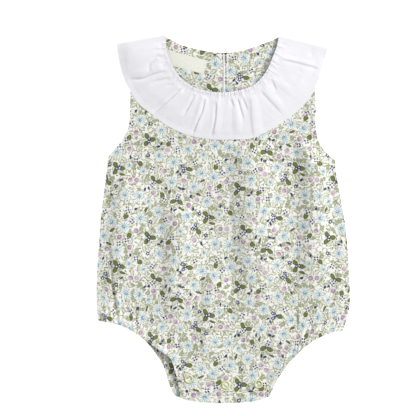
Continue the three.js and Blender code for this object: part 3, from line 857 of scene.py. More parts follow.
def collarPiece():
    size = collarCloth
    across = np.linspace(0, 1, size["acrossSteps"] + 1) ** 1.15
    walls = size["thick"] + (size["hemThick"] - size["thick"]) * smooth(across, 0.7, 1)
    thick = np.column_stack([0 * walls, 0 * walls, walls])
    sections = []
    for around in np.linspace(0, 1, size["frontSteps"] + 1):
        outer = collarTop(np.full(len(across), around), across)
        sections.append((outer - thick, outer))

    def turned(side, angle):
        fold = along(straight(side["neckPoint"], side["ruffleCorner"]), across)
        direction = np.subtract(side["ruffleCorner"], side["neckPoint"])
        direction = direction / np.hypot(*direction)
        outward = np.array([direction[1], -direction[0]]) * side["inwards"]
        over = collarUnder(fold) + size["lie"] + size["thick"]
        middle = over / 2
        found = []
        for wall in (walls, 0):
            radius = middle - wall
            flat = fold + outward * (radius * math.cos(angle))[:, None]
            found.append(np.column_stack([flat, middle + radius * math.sin(angle)]))
        return tuple(found)

    steps = size["turnSteps"]
    angles = [math.pi / 2 - math.pi * i / steps for i in range(1, steps)]
    sections += [turned(right, angle) for angle in angles]
    for around in np.linspace(1, 0, size["backSteps"] + 1):
        outer = collarBack(np.full(len(across), around), across)
        sections.append((outer + thick, outer))
    sections += [turned(left, angle) for angle in reversed(angles)]
    ring = 2 * len(across)
    vertices = np.vstack([np.vstack([inner, outer[::-1]]) for inner, outer in sections])
    cutAround = np.repeat(np.arange(len(sections)), ring)
    cutAcross = np.tile(np.concatenate([across, across[::-1]]), len(sections))
    faces = []
    for s in range(len(sections)):
        here, following = s * ring, (s + 1) % len(sections) * ring
        for i in range(ring):
            j = (i + 1) % ring
            faces.append((here + i, following + i, following + j, here + j))
    flat = np.column_stack([cutAround * size["cutStep"], cutAcross * size["cutWide"]])
    return newPiece("collar_cloth", inFrame(vertices), faces, flat * mm)


# Neck label, a bare strip of woven tape on the inside of the back

label = {
    "long": 45.0,
    "wide": 15.5,
    "thick": 0.16,
    "turn": -0.258,
    "corner": (-17.5, 377.5),
    "above": 0.03,
    "lift": 0.02,
    "columns": 90,
    "rows": 30,
    "selvedge": 0.9,
    "selvedgeDeep": 0.06,
    "selvedgeWide": 0.3,
    "sewn": 1.6,
}


def labelTop(share, down):
    # the upper side of the label; share runs from its right end, down from its upper edge
    cosine, sine = math.cos(label["turn"]), math.sin(label["turn"])
    x = label["corner"][0] - share * label["long"] * cosine + down * label["wide"] * sine
    y = label["corner"][1] - share * label["long"] * sine - down * label["wide"] * cosine
    plan = np.column_stack([x, y])
    height = backUnder(plan) + backCloth["rise"] + label["above"] + label["thick"]
    loose = np.sin(math.pi * share) ** 0.5 * (0.35 + 0.65 * down)
    height += label["lift"] * loose * (1 + np.sin(9 * share + 2.5 * down))
    fromEdge = np.minimum(down, 1 - down) * label["wide"]
    height -= label["selvedgeDeep"] * bell(fromEdge - label["selvedge"], label["selvedgeWide"])
    return np.column_stack([plan, height])


def labelPiece():
    rows, cuts = [], []
    share = np.linspace(1, 0, label["columns"] + 1)
    for down in np.linspace(1, 0, label["rows"] + 1):
        rows.append(labelTop(share, np.full(len(share), down)))
        flat = np.column_stack([share * label["long"], np.full(len(share), down * label["wide"])])
        cuts.append(flat)
    return sheetShell("label_tape", rows, cuts, label["thick"])


# Overlocked edge of the centre-back seam, white inside the neck

seamEdge = {
    "from": 339.0,
    "to": 385.4,
    "halfWide": 1.0,
    "halfHigh": 0.34,
    "middleHigh": 0.1,
    "loop": 1.9,
    "loopDeep": 0.1,
    "slant": 1.2,
    "sway": 0.2,
    "swayLength": 7.0,
    "roundEnd": 1.2,
    "around": 20,
    "rows": 240,
}


def seamEdgePiece():
    size = seamEdge
    vertices, faces, flat = [], [], []
    angles = np.linspace(0, 2 * math.pi, size["around"], endpoint=False)
    for y in np.linspace(size["from"], size["to"], size["rows"] + 1):
        loops = 2 * math.pi * y / size["loop"] + size["slant"] * np.cos(angles)
        swell = 1 - size["loopDeep"] * (0.5 + 0.5 * np.cos(loops)) ** 2
        ends = min(y - size["from"], size["to"] - y) / size["roundEnd"]
        swell = swell * math.sqrt(min(1, 0.15 + ends))
        base = backUnder(np.array([[centreBackX, y]]))[0] + backCloth["rise"] + size["middleHigh"]
        sway = size["sway"] * math.sin(y / size["swayLength"])
        x = centreBackX + sway + size["halfWide"] * swell * np.cos(angles)
        z = base + size["halfHigh"] * swell * np.sin(angles)
        vertices.append(np.column_stack([x, np.full(len(angles), y), z]))
        flat.append(np.column_stack([angles, np.full(len(angles), y)]))
    ring = size["around"]
    for row in range(size["rows"]):
        for i in range(ring):
            j = (i + 1) % ring
            here, above = row * ring, (row + 1) * ring
            faces.append((here + j, here + i, above + i, above + j))
    faces.append(tuple(range(ring)))
    faces.append(tuple(reversed(range(size["rows"] * ring, (size["rows"] + 1) * ring))))
    return newPiece("seam_edge", inFrame(np.vstack(vertices)), faces, np.vstack(flat) * mm)


# Stitches, each a rounded length of thread half sunk in the cloth

stitch = {
    "long": 2.2,
    "gap": 0.8,
    "thick": 0.3,
    "sides": 6,
    "sections": ((0.0, 0.35), (0.14, 0.85), (0.5, 1.0), (0.86, 0.85), (1.0, 0.35)),
    "arch": 0.14,
    "zigzagStep": 1.9,
    "zigzagWide": (1.4, 3.9),
}


def runningStitches(line):
    # the ends of each stitch of a row along a line on the cloth
    total = lengths(line)[-1]
    number = int(total / (stitch["long"] + stitch["gap"]))
    starts = np.arange(number) * total / number + stitch["gap"] / 2
    ends = starts + stitch["long"]
    return np.stack([along(line, starts / total), along(line, ends / total)], axis=1)


def stitchPiece(name, pairs):
    vertices, faces = [], []
    turns = np.linspace(0, 2 * math.pi, stitch["sides"], endpoint=False)
    sides = stitch["sides"]
    for start, end in np.vstack(pairs):
        ahead = end - start
        side = np.cross(ahead, (0, 0, 1))
        side /= np.linalg.norm(side)
        up = np.cross(side, ahead)
        up /= np.linalg.norm(up)
        first = len(vertices)
        for share, part in stitch["sections"]:
            middle = start + ahead * share + up * stitch["arch"] * math.sin(math.pi * share)
            radius = stitch["thick"] / 2 * part
            for turn in turns:
                vertices.append(middle + radius * (side * math.cos(turn) + up * math.sin(turn)))
        for row in range(len(stitch["sections"]) - 1):
            for i in range(sides):
                j = (i + 1) % sides
                here, after = first + row * sides, first + (row + 1) * sides
                faces.append((here + i, here + j, after + j, after + i))
        faces.append(tuple(first + i for i in reversed(range(sides))))
        last = first + (len(stitch["sections"]) - 1) * sides
        faces.append(tuple(last + i for i in range(sides)))
    flat = np.array(vertices)[:, :2]
    return newPiece(name, inFrame(np.array(vertices)), faces, flat * mm)


def insideLegs(u, depth):
    # the front's upper side at this depth in from its leg edges and hem
    steps = np.linspace(0, 0.3, 31)
    edge = along(frontBottom, u)
    depths = np.array([np.hypot(*(frontPlan(u, np.full(len(u), t)) - edge).T) for t in steps])
    t = np.array([np.interp(depth, depths[:, i], steps) for i in range(len(u))])
    return frontSurface(u, t)[0]


def insideArmhole(name, v, depth):
    # the front's upper side at this depth in from an armhole, v from the armpit upwards
    steps = np.linspace(0, 0.12, 25)
    steps = steps if name == "left" else 1 - steps
    edge = along(armholes[name], v)
    depths = np.array([np.hypot(*(frontPlan(np.full(len(v), u), 1 + v) - edge).T) for u in steps])
    u = np.array([np.interp(depth, depths[:, i], steps) for i in range(len(v))])
    return frontSurface(u, 1 + v)[0]


def frontStitches():
    legShare = lengths(frontLegs["left"])[-1] / lengths(frontBottom)[-1]
    hemShare = 1 - lengths(frontLegs["right"])[-1] / lengths(frontBottom)[-1]
    rows = [
        insideLegs(np.linspace(0.01, legShare - 0.004, 220), frontCloth["hemWide"]),
        insideLegs(np.linspace(hemShare + 0.004, 0.99, 220), frontCloth["hemWide"]),
    ]
    for name in ("left", "right"):
        rows.append(insideArmhole(name, np.linspace(0.02, 0.5, 120), frontCloth["armholeHem"]))
    return stitchPiece("stitches_front", [runningStitches(row) for row in rows])


def collarStitches():
    around = np.linspace(0.05, 0.95, 900)
    neck, wide = collarPlan("front", around, 0 * around)
    hemRow = collarTop(around, 1 - collarCloth["hemWide"] / wide)
    near, far = stitch["zigzagWide"]
    count = int(lengths(neck)[-1] / stitch["zigzagStep"])
    spots = np.linspace(0.05, 0.95, count)
    _, wide = collarPlan("front", spots, 0 * spots)
    zigzag = collarTop(spots, np.where(np.arange(count) % 2 == 0, near, far) / wide)
    zigzag = np.stack([zigzag[:-1], zigzag[1:]], axis=1)
    return stitchPiece("stitches_collar", [runningStitches(hemRow), zigzag])


def labelStitches():
    down = np.linspace(0.06, 0.94, 40)
    inset = label["sewn"] / label["long"]
    rows = [labelTop(np.full(40, share), down) for share in (inset, 1 - inset)]
    return stitchPiece("stitches_label", [runningStitches(row) for row in rows])


def studPiece(node):
    # a ring of rolled metal: its section is shaped first, then spun round the ring's middle
    low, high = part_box(node)
    middle = (low + high) / 2
    radius = (stud["outer"] + stud["inner"]) / 2 * mm
    half = (stud["outer"] - stud["inner"]) / 2 * mm
    rise = low.z + stud["high"] / 2 * mm
    bpy.ops.object.select_all(action="DESELECT")
    bpy.ops.mesh.primitive_circle_add(
        vertices=stud["section"],
        radius=half,
        location=(middle.x + radius, middle.y, rise),
        rotation=(math.pi / 2, 0, 0),
    )
    ring = bpy.context.active_object
    ring.name = node.replace("snap", "stud_ring")
    ring.scale = (1, stud["high"] * mm / 2 / half, 1)
    bpy.ops.object.transform_apply(location=True, rotation=True, scale=True)
    section = ring.data
    for vertex in section.vertices:
        inwards = vertex.co.x < middle.x + radius - 0.4 * half
        vertex.select = inwards and vertex.co.z < rise - 0.1 * mm
    bpy.ops.object.mode_set(mode="EDIT")
    bpy.ops.mesh.select_mode(type="VERT")
    bpy.ops.transform.translate(value=(-stud["flange"] * mm, 0, 0))
    bpy.ops.mesh.select_all(action="SELECT")
    bpy.ops.mesh.spin(
        steps=stud["around"], angle=2 * math.pi, center=(middle.x, middle.y, rise), axis=(0, 0, 1)
    )
    bpy.ops.mesh.select_all(action="SELECT")
    bpy.ops.mesh.remove_doubles(threshold=0.01 * mm)
    bpy.ops.mesh.normals_make_consistent(inside=False)
    bpy.ops.object.mode_set(mode="OBJECT")
    bpy.ops.object.shade_smooth()
    return ring


front = frontPiece()
print("front made:", len(front.data.polygons), "faces")
backs = {name: backPiece(name) for name in ("left", "right")}
print("backs made:", len(backs["left"].data.polygons), "faces each")
collar = collarPiece()
print("collar made:", len(collar.data.polygons), "faces")
tape = labelPiece()
seam = seamEdgePiece()
threads = {"printed_cotton": [frontStitches()], "white_cotton": [collarStitches(), labelStitches()]}
rings = {node: studPiece(node) for node in studs}
print("label, seam edge, stitches and press studs made")


# Materials

def toLinear(hexColour):
    # an sRGB hex colour as linear light
    parts = [int(hexColour[i : i + 2], 16) / 255 for i in (1, 3, 5)]
    linear = [c / 12.92 if c <= 0.04045 else ((c + 0.055) / 1.055) ** 2.4 for c in parts]
    return (*linear, 1.0)


def addNode(tree, kind, links=None, **settings):
    # adds a node; links gives each input, by number or name, a node, an output or a value
    node = tree.nodes.new("ShaderNode" + kind)
    for key, value in settings.items():
        setattr(node, key, value)
    for key, value in (links or {}).items():
        if isinstance(value, bpy.types.Node):
            value = next(output for output in value.outputs if output.enabled)
        if isinstance(value, bpy.types.NodeSocket):
            tree.links.new(value, node.inputs[key])
        else:
            node.inputs[key].default_value = value
    return node


def over(tree, below, mask, colour):
    # a colour laid over what is below, each as a hex colour or a node
    below, colour = (toLinear(part) if isinstance(part, str) else part for part in (below, colour))
    return addNode(tree, "Mix", {0: mask, 6: below, 7: colour}, data_type="RGBA")


def newMaterial(name):
    material = bpy.data.materials.new(name)
    material.use_nodes = True
    material.node_tree.nodes.clear()
    return material


def finishMaterial(tree, colour, bump, settings):
    # the shader and the output; settings are the shader's own values
    links = {"Base Color": colour, **settings}
    if bump is not None:
        links["Normal"] = bump
    addNode(tree, "OutputMaterial", {"Surface": addNode(tree, "BsdfPrincipled", links)})


# Ditsy floral print, charted for one repeat. Columns of the repeat are set half a repeat higher
# than the one on their left. Places and sizes are in millimetres, turns in degrees.
printRepeat = {"across": 99.0, "down": 108.0}
printColours = {
    "cloth": "#efeee8",
    "vine": "#a5aa90",
    "paleLeaf": "#8f9674",
    "paleLeafLight": "#dcdecb",
    "speck": "#7d8563",
    "leaf": "#6c7638",
    "leafEdge": "#3b4220",
    "navy": "#2f3a6a",
    "mauve": "#a2879c",
    "mauvePale": "#cbb6c4",
    "petal": "#93b8c4",
    "petalDark": "#5f96a6",
    "petalWash": "#e2e9e6",
}
bigDaisies = [
    (31, 30, 20), (8, 42, 100), (27, 49, 200), (59, 44, 300), (67, 76, 40), (42, 82, 150),
    (6, 66, 250), (81, 60, 10), (89, 87, 120), (75, 92, 220), (45, 103, 60), (60, 9, 330),
    (90, 14, 170), (29, 3, 80),
]
smallDaisies = [(17, 60, 30), (52, 28, 140), (94, 46, 260), (11, 94, 200), (78, 4, 90)]
buds = [
    (41, 42, 10), (46, 36, 200), (70, 62, 120), (22, 70, 300), (34, 94, 60), (56, 83, 250),
    (96, 30, 20), (95, 64, 170), (67, 18, 330), (3, 28, 100), (38, 9, 220), (84, 75, 280),
    (4, 84, 50), (61, 56, 140),
]
slimLeaves = [
    (53, 52, -35), (87, 36, -15), (72, 68, 160), (14, 51, 70), (40, 71, 75), (76, 83, 30),
]
commas = [
    (13, 74, 60), (86, 30, 30), (75, 14, 130), (36, 75, 80), (55, 74, 10), (63, 66, 100),
    (3, 52, 40), (66, 52, 70), (46, 51, 20), (42, 52, 80), (28, 13, 0), (31, 16, 60),
    (96, 55, 100), (49, 93, 40), (52, 90, 110), (51, 75, 150), (17, 75, 120),
]
loneFlowers = [(19, 38, 0), (80, 23, 30), (16, 3, 50), (73, 47, 15)]
loneDots = [(49, 9, 10), (98, 92, 40), (68, 103, 25), (21, 97, 60), (83, 68, 5), (35, 40, 30)]
# Sprigs join dark leaves, navy flowers and dots; each part has its place and turn in the sprig
sprigKinds = {
    "trefoil": {
        "leaf": [(4.5, 0.4, 5), (-1.9, 4.1, 118), (-2.6, -3.8, 235)],
        "flower": [(0.4, 1.3, 0), (-0.3, -1.6, 30)],
    },
    "pair": {
        "leaf": [(-4.0, 1.3, 160), (1.0, -4.3, 280)],
        "flower": [(0.3, 0.3, 10)],
        "dots": [(4.2, 2.4, 20)],
    },
    "posy": {
        "leaf": [(4.1, -1.1, -20)],
        "flower": [(-0.6, 0.9, 0), (-3.4, -1.9, 40), (-2.9, 3.6, 20)],
    },
    "single": {"leaf": [(-3.0, 0.6, 170)], "dots": [(2.4, -0.4, 30)]},
}
sprigs = [
    (17, 20, 0, "trefoil"), (48, 62, 40, "pair"), (69, 30, -30, "posy"), (24, 82, 200, "pair"),
    (82, 43, 120, "trefoil"), (41, 18, 60, "single"), (93, 74, 250, "single"),
    (58, 96, 10, "posy"), (33, 64, 300, "single"), (92, 101, 80, "single"),
    (5, 104, 150, "single"),
]


def sprigParts(part):
    # the places of one kind of part in all the sprigs
    found = []
    for x, y, turn, kind in sprigs:
        cosine, sine = math.cos(math.radians(turn)), math.sin(math.radians(turn))
        for dx, dy, own in sprigKinds[kind].get(part, []):
            found.append((x + dx * cosine - dy * sine, y + dx * sine + dy * cosine, turn + own))
    return found


motifSizes = {
    "bigDaisy": 6.6,
    "smallDaisy": 4.4,
    "rays": 11,
    "navyFlower": 2.45,
    "navyHeart": 0.75,
    "navyNotch": 0.45,  # how deep the cuts between its petals are
    "dot": 1.0,
    "dotSpread": 1.35,
    "comma": (2.2, 1.15),
    "bud": 2.8,
    "darkLeaf": (3.8, 2.5),
    "slimLeaf": (3.6, 1.3),
    "paleLeaf": (4.3, 2.0),
    "veins": 2.7,
    "middleVein": 0.35,
    "waver": 1.8,
    "waverNet": 3.4,
    "speck": (1.45, 0.6),
    "speckNet": 3.5,
    "speckShift": 17.0,
    "leafNets": ((8.6, 0.0), (6.6, 31.0)),  # the cell of each net and how far it is shifted
    "leafShare": 0.48,
    "ribbedShare": 0.4,
    "vineNet": 9.0,
    "vineGapNet": 5.0,
    "toneNet": 7.0,
    "curl": 2.4,
    "curlLine": 0.4,
}
turnScale = 1000.0


def nearestMotif(tree, place, chart, reach):
    # the closest motif of a chart: its distance, and the place as seen from it, turned
    across, down = printRepeat["across"], printRepeat["down"]
    centres = []
    for x, y, turn in chart:
        for column in (-1, 0, 1):
            for row in (-1, 0, 1):
                spot = (x + column * across, y + (row + column / 2) * down)
                if -reach < spot[0] < across + reach and -reach < spot[1] < down + reach:
                    centres.append((*spot, math.radians(turn) / turnScale))
    chosen = centres[0]
    best = addNode(tree, "VectorMath", {0: place, 1: chosen}, operation="DISTANCE")
    for centre in centres[1:]:
        far = addNode(tree, "VectorMath", {0: place, 1: centre}, operation="DISTANCE")
        closer = addNode(tree, "Math", {0: far, 1: best}, operation="LESS_THAN")
        chosen = addNode(tree, "Mix", {0: closer, 4: chosen, 5: centre}, data_type="VECTOR")
        best = addNode(tree, "Math", {0: far, 1: best}, operation="MINIMUM")
    offset = addNode(tree, "VectorMath", {0: place, 1: chosen}, operation="SUBTRACT")
    parts = addNode(tree, "SeparateXYZ", {0: offset})
    links = {0: parts.outputs[1], 1: parts.outputs[0]}
    bearing = addNode(tree, "Math", links, operation="ARCTAN2")
    links = {0: parts.outputs[2], 1: turnScale, 2: bearing}
    return best, addNode(tree, "Math", links, operation="MULTIPLY_ADD")


def turnedPlace(tree, far, angle):
    # x and y from a distance and an angle
    cosine = addNode(tree, "Math", {0: angle}, operation="COSINE")
    sine = addNode(tree, "Math", {0: angle}, operation="SINE")
    x = addNode(tree, "Math", {0: far, 1: cosine}, operation="MULTIPLY")
    y = addNode(tree, "Math", {0: far, 1: sine}, operation="MULTIPLY")
    return x, y


def inside(tree, value, edge, blur=0.22):
    # one where the value is under the edge, with a softly printed border
    if isinstance(edge, (int, float)):
        return addNode(tree, "MapRange", {0: value, 1: edge + blur, 2: edge - blur})
    gap = addNode(tree, "Math", {0: edge, 1: value}, operation="SUBTRACT")
    return addNode(tree, "MapRange", {0: gap, 1: -blur, 2: blur})


def petalWave(tree, angle, count):
    # one along the middle of each of this many petals, none between them
    wave = addNode(tree, "Math", {0: angle, 1: count / 2}, operation="MULTIPLY")
    wave = addNode(tree, "Math", {0: wave}, operation="COSINE")
    return addNode(tree, "Math", {0: wave}, operation="ABSOLUTE")


def leafShape(tree, far, angle, size):
    # how far inside a pointed leaf a place is, and how far from its middle line
    x, y = turnedPlace(tree, far, angle)
    share = addNode(tree, "Math", {0: x, 1: 1 / size[0]}, operation="MULTIPLY")
    square = addNode(tree, "Math", {0: share, 1: share}, operation="MULTIPLY")
    square = addNode(tree, "Math", {0: square, 1: square, 2: square}, operation="MULTIPLY_ADD")
    links = {0: square, 1: -size[1] / 2, 2: size[1]}
    half = addNode(tree, "Math", links, operation="MULTIPLY_ADD")
    across = addNode(tree, "Math", {0: y}, operation="ABSOLUTE")
    deep = addNode(tree, "Math", {0: half, 1: across}, operation="SUBTRACT")
    return deep, across


def addDaisies(tree, below, place, chart, radius, reach):
    # thin rays of pale blue, darker towards the middle, on clear cloth
    far, angle = nearestMotif(tree, place, chart, reach)
    below = over(tree, below, inside(tree, far, radius * 0.85, 1.2), printColours["cloth"])
    wash = addNode(tree, "MapRange", {0: far, 1: radius * 0.75, 2: radius * 0.3, 4: 0.45})
    below = over(tree, below, wash, printColours["petalWash"])
    wave = petalWave(tree, angle, motifSizes["rays"])
    ray = addNode(tree, "MapRange", {0: wave, 1: 0.6, 2: 0.95})
    slow = addNode(tree, "Math", {0: angle, 1: 2.5}, operation="MULTIPLY")
    slow = addNode(tree, "Math", {0: slow}, operation="SINE")
    links = {0: slow, 1: radius * 0.14, 2: radius * 0.8}
    tip = addNode(tree, "Math", links, operation="MULTIPLY_ADD")
    ray = addNode(tree, "Math", {0: ray, 1: inside(tree, far, tip, 0.8)}, operation="MULTIPLY")
    faint = addNode(tree, "MapRange", {0: far, 1: radius * 0.3, 2: radius, 3: 1.0, 4: 0.7})
    ray = addNode(tree, "Math", {0: ray, 1: faint}, operation="MULTIPLY")
    depth = addNode(tree, "MapRange", {0: far, 1: radius * 0.2, 2: radius * 0.6})
    tint = over(tree, printColours["petalDark"], depth, printColours["petal"])
    below = over(tree, below, ray, tint)
    # a darker curl round the middle
    ring = addNode(tree, "Math", {0: far, 1: radius * 0.22}, operation="SUBTRACT")
    ring = addNode(tree, "Math", {0: ring}, operation="ABSOLUTE")
    arc = addNode(tree, "Math", {0: angle}, operation="SINE")
    arc = addNode(tree, "MapRange", {0: arc, 1: -0.6, 2: 0.1})
    curl = addNode(tree, "Math", {0: inside(tree, ring, 0.6, 0.3), 1: arc}, operation="MULTIPLY")
    return over(tree, below, curl, printColours["petalDark"])


def scattered(tree, place, cell, seed):
    # one spot in each cell of an uneven net: distance and angle from it, and its chances
    shifted = addNode(tree, "VectorMath", {0: place, 1: (seed, seed, 0)}, operation="ADD")
    links = {"Vector": shifted, "Scale": 1 / cell, "Randomness": 0.7}
    net = addNode(tree, "TexVoronoi", links, voronoi_dimensions="2D")
    links = {0: shifted, 1: net.outputs["Position"]}
    offset = addNode(tree, "VectorMath", links, operation="SUBTRACT")
    local = addNode(tree, "SeparateXYZ", {0: offset})
    far = addNode(tree, "VectorMath", {0: offset}, operation="LENGTH").outputs["Value"]
    links = {0: local.outputs[1], 1: local.outputs[0]}
    bearing = addNode(tree, "Math", links, operation="ARCTAN2")
    chance = addNode(tree, "SeparateColor", {0: net.outputs["Color"]})
    links = {0: chance.outputs[0], 1: 6.28, 2: bearing}
    return far, addNode(tree, "Math", links, operation="MULTIPLY_ADD"), chance


def printPlace(tree, cut):
    # the place in millimetres, over the whole cut and within one repeat; both waver a little,
    # as drawn edges do
    place = addNode(tree, "VectorMath", {0: cut, 1: (1 / mm, 1 / mm, 0)}, operation="MULTIPLY")
    across, down = printRepeat["across"], printRepeat["down"]
    parts = addNode(tree, "SeparateXYZ", {0: place})
    column = addNode(tree, "Math", {0: parts.outputs[0], 1: 1 / across}, operation="MULTIPLY")
    column = addNode(tree, "Math", {0: column}, operation="FLOOR")
    links = {0: column, 1: -across, 2: parts.outputs[0]}
    x = addNode(tree, "Math", links, operation="MULTIPLY_ADD")
    links = {0: column, 1: -down / 2, 2: parts.outputs[1]}
    y = addNode(tree, "Math", links, operation="MULTIPLY_ADD")
    y = addNode(tree, "Math", {0: y, 1: down, 2: 0.0}, operation="WRAP")
    spot = addNode(tree, "CombineXYZ", {0: x, 1: y})
    net = {"Vector": place, "Scale": 1 / motifSizes["waverNet"], "Detail": 1.0}
    waver = addNode(tree, "TexNoise", net, noise_dimensions="2D")
    links = {0: waver.outputs[1], 1: (0.5, 0.5, 0.5)}
    waver = addNode(tree, "VectorMath", links, operation="SUBTRACT")
    far = motifSizes["waver"]
    waver = addNode(tree, "VectorMath", {0: waver, 1: (far, far, 0)}, operation="MULTIPLY")
    spot = addNode(tree, "VectorMath", {0: spot, 1: waver}, operation="ADD")
    place = addNode(tree, "VectorMath", {0: place, 1: waver}, operation="ADD")
    return place, spot


def addVines(tree, ground, place):
    # thin vines run between the flowers, as level lines of a soft noise, broken by another
    net = {"Vector": place, "Scale": 1 / motifSizes["vineNet"], "Detail": 0.0}
    wander = addNode(tree, "TexNoise", net, noise_dimensions="2D")
    level = addNode(tree, "Math", {0: wander.outputs[0], 1: 0.5}, operation="SUBTRACT")
    level = addNode(tree, "Math", {0: level}, operation="ABSOLUTE")
    net = {"Vector": place, "Scale": 1 / motifSizes["vineGapNet"], "Detail": 0.0}
    broken = addNode(tree, "TexNoise", net, noise_dimensions="2D")
    broken = addNode(tree, "MapRange", {0: broken.outputs[0], 1: 0.46, 2: 0.52})
    vine = addNode(tree, "MapRange", {0: level, 1: 0.034, 2: 0.016})
    vine = addNode(tree, "Math", {0: vine, 1: broken}, operation="MULTIPLY")
    return over(tree, ground, vine, printColours["vine"])


def addSpecks(tree, ground, place):
    far, angle, chance = scattered(tree, place, motifSizes["speckNet"], motifSizes["speckShift"])
    deep, _ = leafShape(tree, far, angle, motifSizes["speck"])
    mask = addNode(tree, "MapRange", {0: deep, 1: -0.2, 2: 0.15})
    shown = addNode(tree, "MapRange", {0: chance.outputs[1], 1: 0.35, 2: 0.65})
    mask = addNode(tree, "Math", {0: mask, 1: shown}, operation="MULTIPLY")
    return over(tree, ground, mask, printColours["speck"])


def addPaleLeaves(tree, ground, place, cell, shift):
    # a pale leaf, ribbed or outlined only, or a curl in each cell of an uneven net
    size = motifSizes
    far, angle, chance = scattered(tree, place, cell, shift)
    deep, middle = leafShape(tree, far, angle, size["paleLeaf"])
    leaf = addNode(tree, "MapRange", {0: deep, 1: -0.15, 2: 0.2})
    x, _ = turnedPlace(tree, far, angle)
    ribs = addNode(tree, "Math", {0: x, 1: middle}, operation="SUBTRACT")
    ribs = addNode(tree, "Math", {0: ribs, 1: 2 * math.pi / size["veins"]}, operation="MULTIPLY")
    ribs = addNode(tree, "Math", {0: ribs}, operation="SINE")
    ribs = addNode(tree, "MapRange", {0: ribs, 1: -0.4, 2: 0.4})
    vein = inside(tree, middle, size["middleVein"])
    ribs = addNode(tree, "Math", {0: ribs, 1: vein}, operation="MAXIMUM")
    line = addNode(tree, "Math", {0: deep, 1: 0.35}, operation="SUBTRACT")
    line = addNode(tree, "Math", {0: line}, operation="ABSOLUTE")
    line = inside(tree, line, 0.38)
    links = {0: chance.outputs[1], 1: size["ribbedShare"]}
    isRibbed = addNode(tree, "Math", links, operation="LESS_THAN")
    links = {0: chance.outputs[2], 1: size["leafShare"]}
    isLeaf = addNode(tree, "Math", links, operation="LESS_THAN")
    ribs = addNode(tree, "Math", {0: ribs, 1: isRibbed}, operation="MULTIPLY")
    drawn = addNode(tree, "Math", {0: ribs, 1: line}, operation="MAXIMUM")
    leaf = addNode(tree, "Math", {0: leaf, 1: isLeaf}, operation="MULTIPLY")
    green = over(tree, printColours["paleLeafLight"], drawn, printColours["paleLeaf"])
    ground = over(tree, ground, leaf, green)
    ring = addNode(tree, "Math", {0: far, 1: size["curl"]}, operation="SUBTRACT")
    spiral = addNode(tree, "Math", {0: angle}, operation="COSINE")
    ring = addNode(tree, "Math", {0: spiral, 1: 0.5, 2: ring}, operation="MULTIPLY_ADD")
    ring = addNode(tree, "Math", {0: ring}, operation="ABSOLUTE")
    curl = inside(tree, ring, size["curlLine"])
    arc = addNode(tree, "Math", {0: angle}, operation="SINE")
    arc = addNode(tree, "MapRange", {0: arc, 1: -0.45, 2: -0.15})
    curl = addNode(tree, "Math", {0: curl, 1: arc}, operation="MULTIPLY")
    isCurl = addNode(tree, "Math", {0: 1.0, 1: isLeaf}, operation="SUBTRACT")
    curl = addNode(tree, "Math", {0: curl, 1: isCurl}, operation="MULTIPLY")
    return over(tree, ground, curl, printColours["vine"])


def addBuds(tree, ground, place, spot):
    # round mauve buds, uneven in tone, each with a paler side
    far, angle = nearestMotif(tree, spot, buds, 4)
    bud = motifSizes["bud"]
    ground = over(tree, ground, inside(tree, far, bud + 0.7, 0.5), printColours["cloth"])
    net = {"Vector": place, "Scale": 1 / motifSizes["toneNet"], "Detail": 0.0}
    tone = addNode(tree, "TexNoise", net, noise_dimensions="2D")
    tone = addNode(tree, "MapRange", {0: tone.outputs[0], 1: 0.4, 2: 0.6})
    mauve = over(tree, printColours["mauve"], tone, printColours["mauvePale"])
    ground = over(tree, ground, inside(tree, far, bud, 0.35), mauve)
    cosine = addNode(tree, "Math", {0: angle}, operation="COSINE")
    pale = addNode(tree, "Math", {0: far, 1: cosine}, operation="MULTIPLY")
    pale = addNode(tree, "Math", {0: pale, 1: 0.4, 2: far}, operation="MULTIPLY_ADD")
    return over(tree, ground, inside(tree, pale, 0.9, 0.5), printColours["mauvePale"])


def addDarkLeaves(tree, ground, spot, chart, shape):
    # filled leaves with a dark outline, each on a little clear cloth
    far, angle = nearestMotif(tree, spot, chart, 5)
    deep, _ = leafShape(tree, far, angle, motifSizes[shape])
    for start, end, ink in ((-1.0, -0.3, "cloth"), (-0.25, 0.1, "leafEdge"), (0.3, 0.8, "leaf")):
        mask = addNode(tree, "MapRange", {0: deep, 1: start, 2: end})
        ground = over(tree, ground, mask, printColours[ink])
    return ground


def addNavyFlowers(tree, ground, spot):
    # five-petalled flowers with a clear heart
    far, angle = nearestMotif(tree, spot, sprigParts("flower") + loneFlowers, 4.5)
    radius, notch = motifSizes["navyFlower"], motifSizes["navyNotch"]
    rim = {0: petalWave(tree, angle, 5), 1: radius * notch, 2: radius * (1 - notch)}
    rim = addNode(tree, "Math", rim, operation="MULTIPLY_ADD")
    ground = over(tree, ground, inside(tree, far, rim), printColours["navy"])
    return over(tree, ground, inside(tree, far, motifSizes["navyHeart"]), printColours["cloth"])


def addNavyDots(tree, ground, spot):
    # four dots at the corners of a square, on clear cloth
    far, angle = nearestMotif(tree, spot, sprigParts("dots") + loneDots, 4)
    ground = over(tree, ground, inside(tree, far, 3.1, 0.6), printColours["cloth"])
    x, y = turnedPlace(tree, far, angle)
    x = addNode(tree, "Math", {0: x}, operation="ABSOLUTE")
    y = addNode(tree, "Math", {0: y}, operation="ABSOLUTE")
    corner = addNode(tree, "CombineXYZ", {0: x, 1: y})
    spread = motifSizes["dotSpread"]
    dot = addNode(tree, "VectorMath", {0: corner, 1: (spread, spread, 0)}, operation="DISTANCE")
    mask = inside(tree, dot.outputs["Value"], motifSizes["dot"])
    return over(tree, ground, mask, printColours["navy"])


def addCommas(tree, ground, spot):
    far, angle = nearestMotif(tree, spot, commas, 3)
    deep, _ = leafShape(tree, far, angle, motifSizes["comma"])
    mask = addNode(tree, "MapRange", {0: deep, 1: -0.2, 2: 0.2})
    return over(tree, ground, mask, printColours["navy"])


